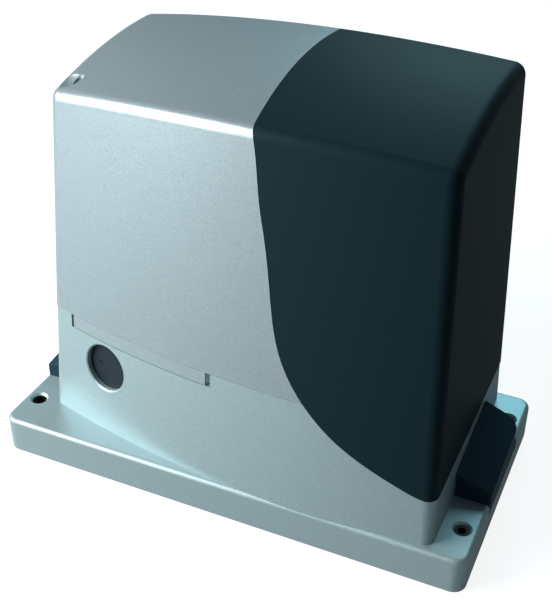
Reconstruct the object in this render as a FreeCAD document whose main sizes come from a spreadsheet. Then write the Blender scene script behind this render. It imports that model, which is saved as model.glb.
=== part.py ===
import FreeCAD, Part
import math
import os
import re
from types import SimpleNamespace

import Sketcher
from FreeCAD import Placement, Rotation, Vector

# Sliding gate motor. Millimetres, +Z up, X along the front, -Y the front, +Y the gate side.
# The origin is the middle of the foot flange's underside.

doc = FreeCAD.newDocument("gate_motor")
dims = doc.addObject("Spreadsheet::Sheet", "dims")

DRIVING = [
    # foot flange
    ("flange_len", 330.0), ("flange_depth", 171.0), ("flange_t", 26.0), ("flange_corner_r", 9.0),
    ("flange_edge_r", 3.0), ("floor_t", 10.0),
    # outer form of body and cover: tapered sides, a conical bowed front, a flat back
    ("body_half", 142.4), ("side_lean", 0.050), ("bow_r", 695.0), ("bow_x", 61.0), ("bow_y", -85.2),
    ("bow_lean", 0.10), ("back_y", 85.0), ("form_corner_r", 8.5), ("form_back_r", 8.5), ("eave_r", 8.0),
    # roof: crowned front to back round the bow's centre, and side to side
    ("roof_top", 279.0), ("roof_crest_r", 574.7), ("roof_fall_r", 328.0), ("roof_side_r", 1008.0),
    ("roof_side_x", 28.5),
    # walls and the split between cover and body
    ("cover_t", 3.0), ("wall_t", 5.5), ("split_z", 104.6), ("split_gap", 0.5),
    ("column_inset", 0.5), ("lip_h", 5.0), ("lip_inset", 3.5), ("seam", 0.4), ("lap_w", 8.0), ("lap_t", 1.8),
    # release handle and lock
    ("handle_x_left", -121.6), ("handle_x_right", -7.6), ("handle_h", 9.6), ("handle_t", 3.4),
    ("handle_gap", 0.5), ("hinge_depth", 5.0), ("hinge_pin_r", 1.6), ("knuckle_r", 4.4),
    ("cam_base", 8.6), ("ring_travel", 6.0),
    ("lock_x", -92.4), ("lock_z", 75.0), ("lock_hole_r", 16.6), ("disc_r", 18.2), ("disc_t", 2.0),
    ("disc_travel", 35.5), ("barrel_r", 11.0), ("key_w", 2.4), ("plate_y", 7.2), ("hole_bevel", 0.9),
    # anchoring and levelling
    ("anchor_x", 151.0), ("anchor_y", 4.0), ("anchor_r", 5.5), ("anchor_slot", 30.0),
    ("cap_front_y", -31.0), ("cap_back_y", 40.0), ("cap_out_z", 34.0), ("cap_in_front_z", 43.5),
    ("cap_in_back_z", 50.5), ("cap_wall", 2.4), ("cap_corner_r", 9.0), ("cap_gap", 0.35),
    ("cap_well", 9.0),
    ("level_x", 154.5), ("level_y", 57.5), ("level_r", 5.0), ("level_socket", 5.0), ("level_len", 24.0),
    # output shaft, worm wheel, clutch
    ("shaft_z", 62.0), ("front_journal_r", 8.5), ("slide_r", 10.0), ("back_journal_r", 12.5),
    ("pinion_seat_r", 10.0), ("shaft_front_y", -45.0), ("shaft_back_y", 109.0),
    ("bearing_a_y", -44.0), ("bearing_a_w", 10.0), ("bearing_a_r", 17.5),
    ("bearing_b_y", 58.0), ("bearing_b_w", 15.0), ("bearing_b_r", 26.0), ("seal_w", 7.0),
    ("wheel_y", 19.0), ("wheel_w", 18.0), ("wheel_root_r", 34.0), ("wheel_tip_r", 38.0),
    ("wheel_bore_r", 10.05),
    ("ring_y", -4.0), ("ring_w", 12.0), ("ring_r", 19.0), ("ring_groove_r", 15.5), ("dog_h", 6.4),
    # worm on the motor shaft
    ("worm_x", -48.0), ("worm_core_r", 8.0), ("worm_tip_r", 12.0), ("worm_pitch", 6.2831853),
    # pinion
    ("pinion_teeth", 15.0), ("pinion_module", 4.0), ("pinion_y", 87.5), ("pinion_w", 19.0),
    # gear chamber, with its lid, and the motor on it
    ("chamber_left", -70.0), ("chamber_right", 52.0), ("chamber_front", -46.0), ("chamber_back", 84.0),
    ("chamber_wall", 7.0), ("chamber_thick", 12.0), ("boss_a_r", 23.0), ("boss_b_r", 31.0),
    ("lid_screw_left", -66.0), ("lid_screw_right", 47.0), ("lid_screw_front", -40.0),
    ("lid_screw_back", 70.0), ("lid_boss_r", 5.0), ("fork_rod_x", 30.0), ("fork_rod_z", 94.0),
    ("fork_rod_r", 3.0),
    ("lid_z", 104.0), ("lid_t", 5.0), ("motor_r", 31.0), ("motor_h", 96.0), ("motor_cap_h", 18.0),
    # electrics
    ("board_w", 120.0), ("board_h", 112.0), ("board_x", -6.0), ("board_y", -36.0), ("board_z", 122.0),
    ("toroid_x", 92.0), ("toroid_y", 26.0), ("toroid_r", 35.0), ("toroid_h", 38.0),
    ("inlet_x", -104.0), ("inlet_y", 46.0), ("inlet_r", 12.0),
    ("limit_x", 0.0), ("limit_z", 126.0), ("limit_rod_r", 1.5), ("limit_arm_y", 95.0),
    ("limit_notch_w", 30.0), ("limit_notch_z", 134.0), ("limit_notch_r", 6.0),
    # cover fixing
    ("screw_x", -118.0), ("screw_y", -21.5), ("dish_x", -122.6), ("dish_y", -24.0), ("dish_r", 12.0),
    ("dish_depth", 2.5), ("post_top_z", 241.0), ("screw_seat", 5.5), ("screw_head_r", 3.1),
]
for row, (alias, value) in enumerate(DRIVING, 1):
    dims.set("A%d" % row, alias.replace("_", " "))
    dims.set("B%d" % row, repr(value))
    dims.setAlias("B%d" % row, alias)
doc.recompute()
ALIASES = {alias for alias, value in DRIVING}
nodes = []


# The sheet's values, for shapes that are worked out in code.
mm = SimpleNamespace(**{alias: float(dims.get(alias)) for alias in ALIASES})
FAR = 400.0  # longer than the product, for tools that cut right through it
UP, INWARD = Vector(0, 0, 1), Vector(0, 1, 0)


def block(x0, y0, z0, x1, y1, z1):
    """A plain box between two corners."""
    return Part.makeBox(x1 - x0, y1 - y0, z1 - z0, Vector(x0, y0, z0))


def bar(r, x, y, z, length, along=UP):
    """A plain round bar from (x, y, z)."""
    return Part.makeCylinder(r, length, Vector(x, y, z), along)


def formula(text):
    """The expression with every sheet alias written as dims.alias."""
    return re.sub(r"[a-z_]+\b", lambda m: "dims." + m[0] if m[0] in ALIASES else m[0], str(text))


def bind(obj, **sizes):
    for prop, text in sizes.items():
        obj.setExpression(prop.replace("__", "."), formula(text))
    return obj


def place(obj, x, y, z, rotation=None):
    if rotation is not None:
        obj.Placement = Placement(Vector(), rotation)
    for axis, text in zip("xyz", (x, y, z)):
        obj.setExpression("Placement.Base." + axis, formula(text))
    return obj


def box(name, x, y, z, dx, dy, dz):
    obj = bind(doc.addObject("Part::Box", name), Length=dx, Width=dy, Height=dz)
    return place(obj, x, y, z)


TURN = {"Z": Rotation(), "Y": Rotation(Vector(1, 0, 0), -90), "X": Rotation(Vector(0, 1, 0), 90)}


def rod(name, r, h, x, y, z, axis="Z"):
    """A cylinder from (x, y, z) along +axis."""
    obj = bind(doc.addObject("Part::Cylinder", name), Radius=r, Height=h)
    return place(obj, x, y, z, TURN[axis])


def fuse(name, *shapes):
    obj = doc.addObject("Part::MultiFuse", name)
    obj.Shapes = list(shapes)
    return obj


def common(name, *shapes):
    obj = doc.addObject("Part::MultiCommon", name)
    obj.Shapes = list(shapes)
    return obj


def cut(name, base, *tools):
    obj = doc.addObject("Part::Cut", name)
    obj.Base = base
    obj.Tool = tools[0] if len(tools) == 1 else fuse(name + "_tools", *tools)
    return obj


def solid(name, shape):
    """A free-form shape worked out in code from the sheet."""
    obj = doc.addObject("Part::Feature", name)
    obj.Shape = shape
    return obj


def fillet(name, base, radius, wanted):
    """Rounds the edges of base for which wanted(edge) holds."""
    doc.recompute()
    obj = doc.addObject("Part::Fillet", name)
    obj.Base = base
    obj.Edges = [(i, radius, radius) for i, e in enumerate(base.Shape.Edges, 1) if wanted(e)]
    return obj


def node(name, obj, base=None):
    """Names obj as a delivered sub-part, moved to the frame base when one is given."""
    obj.Label = name
    if base is not None:
        obj.Placement = base.multiply(obj.Placement)
    nodes.append((name, obj))
    return obj


# ---------------------------------------------------------------- outer form
# Plan sections at two heights, ruled together. The front is an arc round (bow_x, bow_y + bow_r)
# that shrinks with height, the sides lean in, the back is flat.
BOW_CENTRE_Y = mm.bow_y + mm.bow_r


def plan(z, inset):
    rise = z - mm.flange_t
    half = mm.body_half - mm.side_lean * rise - inset
    r = mm.bow_r - mm.bow_lean * rise - inset
    back = mm.back_y - inset

    def front(x):
        return Vector(x, BOW_CENTRE_Y - math.sqrt(r * r - (x - mm.bow_x) ** 2), z)

    a, b = front(-half), front(half)
    c, d = Vector(half, back, z), Vector(-half, back, z)
    arc = Part.Arc(a, front(0.0), b).toShape()
    return Part.Wire([arc, Part.makeLine(b, c), Part.makeLine(c, d), Part.makeLine(d, a)])


def upright(edge):
    box_ = edge.BoundBox
    return box_.ZLength > 0.8 * max(box_.XLength, box_.YLength, 1e-6) and box_.ZLength > 5


def form(z_low, z_high, inset):
    """The tapered column between two heights, its four corners rounded."""
    body = Part.makeLoft([plan(z_low, inset), plan(z_high, inset)], True, True)
    front = [e for e in body.Edges if upright(e) and e.CenterOfMass.y < 20]
    body = body.makeFillet(max(mm.form_corner_r - inset, 1.2), front)
    back = [e for e in body.Edges if upright(e) and e.CenterOfMass.y > mm.back_y - inset - 2]
    return body.makeFillet(max(mm.form_back_r - inset, 1.2), back)


def roof_z(x, y):
    off = math.hypot(x - mm.bow_x, y - BOW_CENTRE_Y) - mm.roof_crest_r
    side = x - mm.roof_side_x
    return mm.roof_top - off * off / (2 * mm.roof_fall_r) - side * side / (2 * mm.roof_side_r)


def under_roof(inset):
    """Everything from the floor up to the doubly curved roof, lowered by inset."""
    xs = [-170 + 42.5 * i for i in range(9)]
    ys = [-115 + 32.5 * j for j in range(8)]
    grid = [[Vector(x, y, roof_z(x, y) - inset * 1.02) for y in ys] for x in xs]
    skin = Part.BSplineSurface()
    skin.interpolate(grid)
    return skin.toShape().extrude(Vector(0, 0, -FAR))


def housing(inset):
    """The whole outer skin of the product, offset inwards, with a rounded eave."""
    body = form(40.0, 300.0, inset).common(under_roof(inset))
    eave = [e for e in body.Edges if e.BoundBox.ZMin > 200 and not upright(e)]
    return body.makeFillet(mm.eave_r - inset, eave)


# The split runs level from the left, then falls in a bow to the low edge at the right; above it the
# same curve climbs to the roof and parts the two cover mouldings.
SPLIT = [(11.0, 300.0), (12.0, 279.0), (16.8, 261.7), (22.0, 226.0), (26.4, 203.1), (30.2, 179.6),
         (33.6, 154.8), (40.1, 130.2), (45.9, 118.4), (53.6, 106.9), (62.8, 96.6), (73.0, 87.6),
         (87.2, 78.2), (104.0, 69.8), (119.1, 63.4), (131.0, 59.2), (140.0, 57.8), (150.0, 57.6)]


def right_of_split(dx=0.0, dz=0.0):
    """The region right of and above the split curve, through the whole depth."""
    pts = [Vector(x + dx, -FAR / 2, z + dz) for x, z in SPLIT]
    curve = Part.BSplineCurve()
    curve.interpolate(pts)
    low_right = Vector(FAR / 2, -FAR / 2, pts[-1].z)
    top_right = Vector(FAR / 2, -FAR / 2, pts[0].z)
    wire = Part.Wire([curve.toShape(), Part.makeLine(pts[-1], low_right), Part.makeLine(low_right, top_right),
                      Part.makeLine(top_right, pts[0])])
    return Part.Face(wire).extrude(Vector(0, FAR, 0))


def slab(z0, z1):
    """Everything between two heights."""
    return block(-FAR / 2, -FAR / 2, z0, FAR / 2, FAR / 2, z1)


# ---------------------------------------------------------------- cover: silver shell and dark panel
outer = housing(0.0)
inner = housing(mm.cover_t)
skin = outer.cut(inner)
dark_zone = right_of_split()
left_zone = slab(mm.split_z, FAR).cut(right_of_split(-mm.seam))
limit_notch = block(mm.limit_x - mm.limit_notch_w / 2, mm.back_y - 9, mm.split_z - 4.6,
                    mm.limit_x + mm.limit_notch_w / 2, mm.back_y + 11, mm.limit_notch_z)
limit_notch = limit_notch.makeFillet(mm.limit_notch_r, [
    e for e in limit_notch.Edges if e.BoundBox.YLength > 10 and e.CenterOfMass.z > mm.split_z])

# The cover's one screw sinks into a pillar, at the deep end of a round thumb dish in the roof.
DISH_X, DISH_Y = mm.dish_x, mm.dish_y
roof_up = Vector(roof_z(DISH_X - 1, DISH_Y) - roof_z(DISH_X + 1, DISH_Y),
                 roof_z(DISH_X, DISH_Y - 1) - roof_z(DISH_X, DISH_Y + 1), 2.0).normalize()
dish = Part.makeSphere(mm.dish_r, Vector(DISH_X, DISH_Y, roof_z(DISH_X, DISH_Y))
                       + roof_up * (mm.dish_r - mm.dish_depth))
screw_foot = Vector(mm.screw_x, mm.screw_y, mm.post_top_z)
seat_z = Vector(0, 0, mm.screw_seat)
screw_hole = Part.makeCylinder(2.2, 60, screw_foot - Vector(0, 0, 20)).fuse(
    Part.makeCylinder(mm.screw_head_r + 0.4, 60, screw_foot + seat_z))
pillar_in = Part.makeCylinder(6.0, 40, screw_foot + Vector(0, 0, 0.5))
shell = skin.common(left_zone).fuse(pillar_in.common(outer)).cut(dish).cut(screw_hole).cut(limit_notch)

cover_shell = node("cover_shell", solid("cover_shell", shell.removeSplitter()))

lap = inner.cut(housing(mm.cover_t + mm.lap_t)).common(
    right_of_split(-mm.lap_w).common(slab(mm.split_z + 8, FAR)))
panel = skin.common(dark_zone).fuse(lap.cut(limit_notch)).cut(limit_notch)
cover_panel = node("cover_panel", solid("cover_panel", panel.removeSplitter()))


# ---------------------------------------------------------------- base casting
# Foot flange: a padded sketch with rounded corners and a rounded top edge.
flange = doc.addObject("PartDesign::Body", "flange")
outline = flange.newObject("Sketcher::SketchObject", "flange_outline")
outline.AttachmentSupport = [(flange.Origin.OriginFeatures[3], "")]
outline.MapMode = "FlatFace"
corners = [(-1, -1), (1, -1), (1, 1), (-1, 1)]
for (ax, ay), (bx, by) in zip(corners, corners[1:] + corners[:1]):
    outline.addGeometry(Part.LineSegment(Vector(165 * ax, 85 * ay, 0), Vector(165 * bx, 85 * by, 0)))
for i in range(4):
    outline.addConstraint(Sketcher.Constraint("Coincident", i, 2, (i + 1) % 4, 1))
for i in (0, 2):
    outline.addConstraint(Sketcher.Constraint("Horizontal", i))
    outline.addConstraint(Sketcher.Constraint("Vertical", i + 1))
outline.addConstraint(Sketcher.Constraint("Symmetric", 0, 1, 2, 1, -1, 1))
outline.addConstraint(Sketcher.Constraint("DistanceX", 0, 1, 0, 2, 330.0))
outline.renameConstraint(outline.ConstraintCount - 1, "length")
outline.addConstraint(Sketcher.Constraint("DistanceY", 1, 1, 1, 2, 171.0))
outline.renameConstraint(outline.ConstraintCount - 1, "depth")
outline.setExpression("Constraints.length", formula("flange_len"))
outline.setExpression("Constraints.depth", formula("flange_depth"))
pad = flange.newObject("PartDesign::Pad", "flange_pad")
pad.Profile = outline
bind(pad, Length="flange_t")
doc.recompute()
rounds = flange.newObject("PartDesign::Fillet", "flange_corners")
rounds.Base = (pad, ["Edge%d" % i for i, e in enumerate(pad.Shape.Edges, 1) if upright(e)])
bind(rounds, Radius="flange_corner_r")
doc.recompute()
rim = flange.newObject("PartDesign::Fillet", "flange_rim")
rim.Base = (rounds, ["Edge%d" % i for i, e in enumerate(rounds.Shape.Edges, 1)
                     if e.BoundBox.ZMin > mm.flange_t - 0.1])
bind(rim, Radius="flange_edge_r")
flange.Tip = rim
doc.recompute()

# Upper body: a hollow column cut off along the split, with a thinner lip that enters the cover.
COLUMN_LOW, COLUMN_HIGH = 22.0, 150.0
taken = slab(mm.split_z - mm.split_gap, FAR).fuse(
    right_of_split(-mm.split_gap, -mm.split_gap))
taken_lip = slab(mm.split_z + mm.lip_h, FAR).fuse(right_of_split(mm.lip_h, mm.lip_h))
column = form(COLUMN_LOW, COLUMN_HIGH, mm.column_inset)
lip = form(60.0, COLUMN_HIGH, mm.lip_inset)
upper = column.cut(taken).fuse(lip.cut(taken_lip))
cavity = form(mm.floor_t, COLUMN_HIGH, mm.wall_t)

# Lock frame: its own axes sit on the bowed, leaning front wall; local -Y points out of the wall.
lock_r = mm.bow_r - mm.bow_lean * (mm.lock_z - mm.flange_t) - mm.column_inset
lock_y = BOW_CENTRE_Y - math.sqrt(lock_r ** 2 - (mm.lock_x - mm.bow_x) ** 2)
lock_turn = math.degrees(math.asin((mm.lock_x - mm.bow_x) / lock_r))
lock_tilt = -math.degrees(math.atan(mm.bow_lean))
LOCK = Placement(Vector(mm.lock_x, lock_y, mm.lock_z),
                 Rotation(Vector(0, 0, 1), lock_turn).multiply(Rotation(Vector(1, 0, 0), lock_tilt)))


def in_lock(shape):
    shape.Placement = LOCK.multiply(shape.Placement)
    return shape


def lock_box(x0, y0, z0, x1, y1, z1):
    return in_lock(Part.makeBox(x1 - x0, y1 - y0, z1 - z0, Vector(x0, y0, z0)))


def lock_rod(r, y0, y1):
    return in_lock(Part.makeCylinder(r, y1 - y0, Vector(0, y0, 0), Vector(0, 1, 0)))


PLATE_Y = mm.plate_y
PLATE_LOW, PLATE_HIGH, PLATE_EDGE = -22.2, 19.0, 3.4
disc_room = mm.disc_r + 0.8
room_right = mm.disc_r + mm.disc_travel + 1.0
lock_pad = lock_box(-disc_room - 4, 2, PLATE_LOW - 0.8, room_right + 4, PLATE_Y, PLATE_HIGH + 0.8)
lock_pocket = lock_box(-disc_room, 4, -disc_room, room_right, 30, disc_room)
lock_bore = lock_rod(mm.lock_hole_r, -6, 5)
hole_lip = mm.lock_hole_r + mm.hole_bevel
lock_bevel = in_lock(Part.makeCone(hole_lip + 1.0, mm.lock_hole_r, 1.0 + mm.hole_bevel,
                                   Vector(0, -1.0, 0), Vector(0, 1, 0)))
plate_seat = lock_box(-disc_room - 4.5, PLATE_Y, PLATE_LOW - 1.3, room_right + 4.5, 19, 40).common(
    form(8.0, COLUMN_HIGH, mm.lip_inset))

# Release handle frame: a straight notch along the top of the front wall, hinged at its right end.
HINGE_X = mm.handle_x_right - mm.hinge_depth - 0.8
hinge_r = mm.bow_r - mm.bow_lean * (100 - mm.flange_t) - mm.column_inset
HINGE_Y = (BOW_CENTRE_Y - math.sqrt(hinge_r ** 2 - (HINGE_X - mm.bow_x) ** 2)) + mm.hinge_depth
handle_low = mm.split_z - mm.handle_h - mm.handle_gap
notch = block(mm.handle_x_left, -100, handle_low, mm.handle_x_right, -40, COLUMN_HIGH)
BOSS_R, BOSS_H = 6.0, 30.0
hinge_boss = bar(BOSS_R, HINGE_X, HINGE_Y, handle_low - BOSS_H, BOSS_H)
hinge_web = block(HINGE_X - BOSS_R, HINGE_Y - 11, handle_low - BOSS_H,
                  HINGE_X + BOSS_R, HINGE_Y + 1, handle_low)

# Gear chamber: floor, four walls, and a boss for each bearing of the output shaft.
zs = mm.shaft_z
UNDER_FLOOR = mm.floor_t - 2
chamber = block(mm.chamber_left, mm.chamber_front, UNDER_FLOOR,
                mm.chamber_right, mm.chamber_back, mm.lid_z)
chamber = chamber.cut(block(
    mm.chamber_left + mm.chamber_wall, mm.chamber_front + mm.chamber_thick, mm.floor_t,
    mm.chamber_right - mm.chamber_wall, mm.chamber_back - mm.chamber_wall - 1, mm.lid_z + 1))
boss_back = bar(mm.boss_b_r, 0, mm.bearing_b_y - 0.5, zs, 27, INWARD)
boss_front = bar(mm.boss_a_r, 0, mm.chamber_front, zs, 14, INWARD)
lid_screws = [(x, y) for x in (mm.lid_screw_left, mm.lid_screw_right)
              for y in (mm.lid_screw_front, mm.lid_screw_back)]
screw_bosses = [bar(mm.lid_boss_r, x, y, UNDER_FLOOR, mm.lid_z - UNDER_FLOOR) for x, y in lid_screws]
worm_seat = bar(13, mm.worm_x, mm.wheel_y, mm.floor_t - 1, 8)
worm_seat = worm_seat.cut(bar(9.5, mm.worm_x, mm.wheel_y, mm.floor_t, 20))
POST_FOOT_Z = 60.0
post_boss = bar(7, mm.screw_x, mm.screw_y, UNDER_FLOOR, POST_FOOT_Z - UNDER_FLOOR)
TOROID_Z = 13.6
toroid_boss = bar(9, mm.toroid_x, mm.toroid_y, mm.floor_t - 0.5, TOROID_Z - mm.floor_t + 0.4)
clip = form(8.0, COLUMN_HIGH, 2.0).cut(slab(mm.split_z - mm.split_gap, FAR)).cut(
    right_of_split(-mm.split_gap, -mm.split_gap))
bosses = [boss_back, boss_front, post_boss, toroid_boss, hinge_boss, hinge_web, lock_pad, worm_seat]
inside = chamber.multiFuse(bosses + screw_bosses).common(clip)
RIB_T = 3.5
ribs = [block(x, -82, UNDER_FLOOR, x + RIB_T, -52, 68) for x in (25, 70)]
ribs.append(block(48, -40, UNDER_FLOOR, 88, -40 + RIB_T, 48))
inside = inside.multiFuse([rib.common(clip) for rib in ribs])

bores = [
    bar(mm.bearing_a_r, 0, mm.bearing_a_y, zs, mm.bearing_a_w + 0.5, INWARD),
    bar(13, 0, mm.chamber_front - 4, zs, 20, INWARD),
    bar(mm.bearing_b_r, 0, mm.bearing_b_y, zs, 60, INWARD),
    bar(20, 0, mm.bearing_b_y - 1, zs, 40, INWARD),
    bar(mm.inlet_r, mm.inlet_x, mm.inlet_y, -5, 40),
    block(-29, -52, 92, 1, -32, 122),
    bar(mm.fork_rod_r, mm.fork_rod_x, -39.9, mm.fork_rod_z, 118.6, INWARD),
    bar(1.6, mm.screw_x, mm.screw_y, 45, 20),
    bar(mm.hinge_pin_r, HINGE_X, HINGE_Y, handle_low - 12, 14),
    bar(2.4, mm.toroid_x, mm.toroid_y, 1.5, 20),
]
bores += [bar(1.7, x, y, mm.lid_z - 16, 20) for x, y in lid_screws]
for sx in (-1, 1):
    for sy in (-1, 1):
        at = Vector(sx * mm.level_x, sy * mm.level_y, -1)
        bores.append(Part.makeCylinder(mm.level_r, 40, at))
        bores.append(Part.makeCone(mm.level_r, mm.level_r + 1.4, 1.4,
                                   Vector(at.x, at.y, mm.flange_t - 1.39)))
    # anchor slot, and the well in the flange that the side cap closes
    half = mm.anchor_slot / 2 - mm.anchor_r
    at = Vector(sx * mm.anchor_x, mm.anchor_y, -1)
    slot = Part.makeBox(2 * mm.anchor_r, 2 * half, 40, Vector(at.x - mm.anchor_r, at.y - half, -1))
    slot = slot.fuse([Part.makeCylinder(mm.anchor_r, 40, at + Vector(0, k * half, 0)) for k in (-1, 1)])
    bores.append(slot.removeSplitter())
    well_y = mm.cap_front_y - mm.cap_gap
    well_len = mm.cap_back_y - mm.cap_front_y + 2 * mm.cap_gap
    x_in = mm.body_half - 1.5
    bores.append(Part.makeBox(40, well_len, 40, Vector(x_in if sx > 0 else -x_in - 40, well_y,
                                                       mm.flange_t - mm.cap_well)).common(
        slab(0, mm.flange_t + 0.5)))
# underside reliefs between ribs, and foot pads at the corners
reliefs = [Part.makeBox(dx, dy, 5.0, Vector(x, y, -1)) for x, y, dx, dy in (
    (-128, -74, 78, 52), (-42, -74, 84, 34), (50, -74, 78, 52), (62, -8, 66, 60), (-42, 62, 84, 12))]
reliefs = [r.makeFillet(3.0, [e for e in r.Edges if upright(e) or e.BoundBox.ZLength > 3]) for r in reliefs]

doc.recompute()

casting = flange.Shape.copy().fuse(upper)
casting = casting.cut(cavity).multiFuse([inside])
casting = casting.cut(Part.makeCompound(bores)).cut(Part.makeCompound(reliefs))
casting = casting.cut(lock_pocket).cut(lock_bore).cut(lock_bevel).cut(notch).cut(plate_seat)
base_shape = casting.removeSplitter()
base_casting = node("base_casting", solid("base_casting", base_shape))


# ---------------------------------------------------------------- release handle, lock and hinge pin
handle_z0 = handle_low + 0.4
handle_z1 = mm.split_z - 0.6
strip = form(90.0, 110.0, 0.6).cut(form(90.0, 110.0, 0.6 + mm.handle_t))
strip = strip.common(block(mm.handle_x_left + 2, -120, handle_z0, HINGE_X + 2.2, -30, handle_z1))
knuckle = bar(mm.knuckle_r, HINGE_X, HINGE_Y, handle_z0, handle_z1 - handle_z0)

# The cam on the hinge end: its flank is an involute, so that the flat fork link that leans on it
# moves evenly, by ring_travel over a quarter turn.
lift_rate = mm.ring_travel / (math.pi / 2)
flank = []
for step in range(9):
    turned = math.pi / 2 * step / 8
    reach = mm.cam_base + lift_rate * turned
    flank.append(Vector(HINGE_X + reach * math.cos(turned) - lift_rate * math.sin(turned),
                        HINGE_Y + reach * math.sin(turned) + lift_rate * math.cos(turned), handle_z0))
cam_curve = Part.BSplineCurve()
cam_curve.interpolate(flank)
cam_foot = [Vector(HINGE_X + x, HINGE_Y + y, handle_z0)
            for x, y in ((-8.6, 9.0), (-8.6, -0.5), (4.6, -0.5))]
cam_wire = Part.Wire([cam_curve.toShape()] + [
    Part.makeLine(a, b) for a, b in zip([flank[-1]] + cam_foot, cam_foot + [flank[0]])])
cam = Part.Face(cam_wire).extrude(Vector(0, 0, handle_z1 - handle_z0))

# The hook on the far end, which the lock's cam swings in front of.
hook = [lock_box(-11.5, 1.2, 22.8, -8.0, 18.5, 28.2), lock_box(-11.5, 15.8, 22.8, 11.5, 18.5, 28.2)]
handle_layer = slab(handle_z0, handle_z1)
trim = form(80.0, 130.0, 0.6)
handle = strip.multiFuse([knuckle, cam] + [part.common(handle_layer) for part in hook]).common(trim)
handle = handle.cut(bar(mm.hinge_pin_r + 0.05, HINGE_X, HINGE_Y, 70, 60))
release_handle = node("release_handle", solid("release_handle", handle.removeSplitter()))
PIN_FOOT = handle_low - 11.5
release_pin = node("release_pin", rod("release_pin", "hinge_pin_r", handle_z1 + 0.2 - PIN_FOOT,
                                      HINGE_X, HINGE_Y, PIN_FOOT))

disc_blank = rod("disc_blank", "disc_r", "disc_t", 0, 4.5, 0, "Y")
disc_dimple = box("disc_dimple", -9, 4.0, -0.9, 4, 1.1, 1.8)
lock_disc = node("lock_disc", cut("lock_disc", disc_blank, disc_dimple), LOCK)

plate_blank = box("plate_blank", -disc_room - PLATE_EDGE, PLATE_Y + 0.1, PLATE_LOW,
                  room_right + disc_room + 2 * PLATE_EDGE, 3.8, PLATE_HIGH - PLATE_LOW)
lock_plate = node("lock_plate", cut(
    "lock_plate", plate_blank, rod("plate_bore", "barrel_r + 0.05", 1.9, 0, PLATE_Y, 0, "Y"),
    rod("plate_neck", "barrel_r - 1.45", 9, 0, PLATE_Y, 0, "Y")), LOCK)

barrel_parts = fuse(
    "barrel_blank", rod("barrel_head", "barrel_r", 1.5, 0, 7.5, 0, "Y"),
    rod("barrel_body", "barrel_r - 1.5", 3.3, 0, 8.9, 0, "Y"),
    rod("barrel_tail", 5.0, 7.0, 0, 12.1, 0, "Y"))
barrel = cut("lock_barrel", barrel_parts, box("keyway", "-key_w / 2", 7.0, -4.5, "key_w", 6.0, 9.0),
             box("key_ward", -1.9, 7.0, -0.6, 3.8, 6.0, 1.2))
lock_barrel = node("lock_barrel", barrel, LOCK)
lock_arm = fuse("cam_blank", rod("cam_hub", 9.0, 2.6, 0, 12.3, 0, "Y"),
                box("cam_arm", 0, 12.3, -3.5, 27.0, 2.6, 7.0))
lock_cam = node("lock_cam", cut("lock_cam", lock_arm, rod("cam_bore", 5.0, 9, 0, 10, 0, "Y")), LOCK)
nut = bind(doc.addObject("Part::Prism", "nut_blank"), Polygon=6, Circumradius=8.0, Height=3.6)
place(nut, 0, 15.0, 0, TURN["Y"])
lock_nut = node("lock_nut", cut("lock_nut", nut, rod("nut_bore", 5.0, 9, 0, 12, 0, "Y")), LOCK)

# ---------------------------------------------------------------- levelling screws
for tag, sx, sy in (("front_left", "-", "-"), ("front_right", "", "-"), ("back_left", "-", ""),
                    ("back_right", "", "")):
    x, y = sx + "level_x", sy + "level_y"
    shank = rod("level_shank", "level_r", "level_len - 1.2", x, y, 1.5)
    point = bind(doc.addObject("Part::Cone", "level_point"),
                 Radius1="level_r - 1.2", Radius2="level_r", Height=1.2)
    place(point, x, y, 0.3)
    hexagon = bind(doc.addObject("Part::Prism", "level_hex"),
                   Polygon=6, Circumradius="level_socket / 2 / cos(30)", Height=8)
    place(hexagon, x, y, "level_len - 5")
    name = "level_screw_" + tag
    node(name, cut(name, fuse("level_blank", shank, point), hexagon))

# ---------------------------------------------------------------- side caps over the anchor nuts
def cap_block(inset):
    """One cap's outer block: upright sides, one round corner, the top falling away outwards and forwards."""
    y0, y1 = mm.cap_front_y + inset, mm.cap_back_y - inset
    x0, x1 = mm.body_half - 6.0, mm.flange_len / 2 - inset
    z0 = mm.flange_t - mm.cap_well + mm.cap_gap
    solid_cap = block(x0, y0, z0, x1, y1, z0 + 60)
    corners = [e for e in solid_cap.Edges if upright(e) and e.CenterOfMass.x > x1 - 1]
    for middle, radius in ((y1, mm.cap_corner_r - inset), (y0, max(2.5 - inset, 0.6))):
        corner = [e for e in corners if abs(e.CenterOfMass.y - middle) < 1]
        solid_cap = solid_cap.makeFillet(radius, corner)
        corners = [e for e in solid_cap.Edges if upright(e) and e.CenterOfMass.x > x1 - 1]

    def top(x, y):
        across = (x - mm.body_half) / (mm.flange_len / 2 - mm.body_half)
        along = (y - mm.cap_front_y) / (mm.cap_back_y - mm.cap_front_y)
        wall = mm.cap_in_front_z + along * (mm.cap_in_back_z - mm.cap_in_front_z)
        return wall - across * (mm.cap_in_front_z - mm.cap_out_z) - inset

    pts = [Vector(x, y, top(x, y)) for x, y in ((120, -60), (190, -60), (190, 70), (120, 70))]
    above = Part.Face(Part.makePolygon(pts + pts[:1])).extrude(Vector(0, 0, 90))
    solid_cap = solid_cap.cut(above)
    if inset:
        return solid_cap
    ridge = [e for e in solid_cap.Edges if e.BoundBox.ZMin > mm.cap_out_z - 4 and not upright(e)
             and e.CenterOfMass.x > mm.body_half - 4]
    return solid_cap.makeFillet(1.2, ridge)


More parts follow.
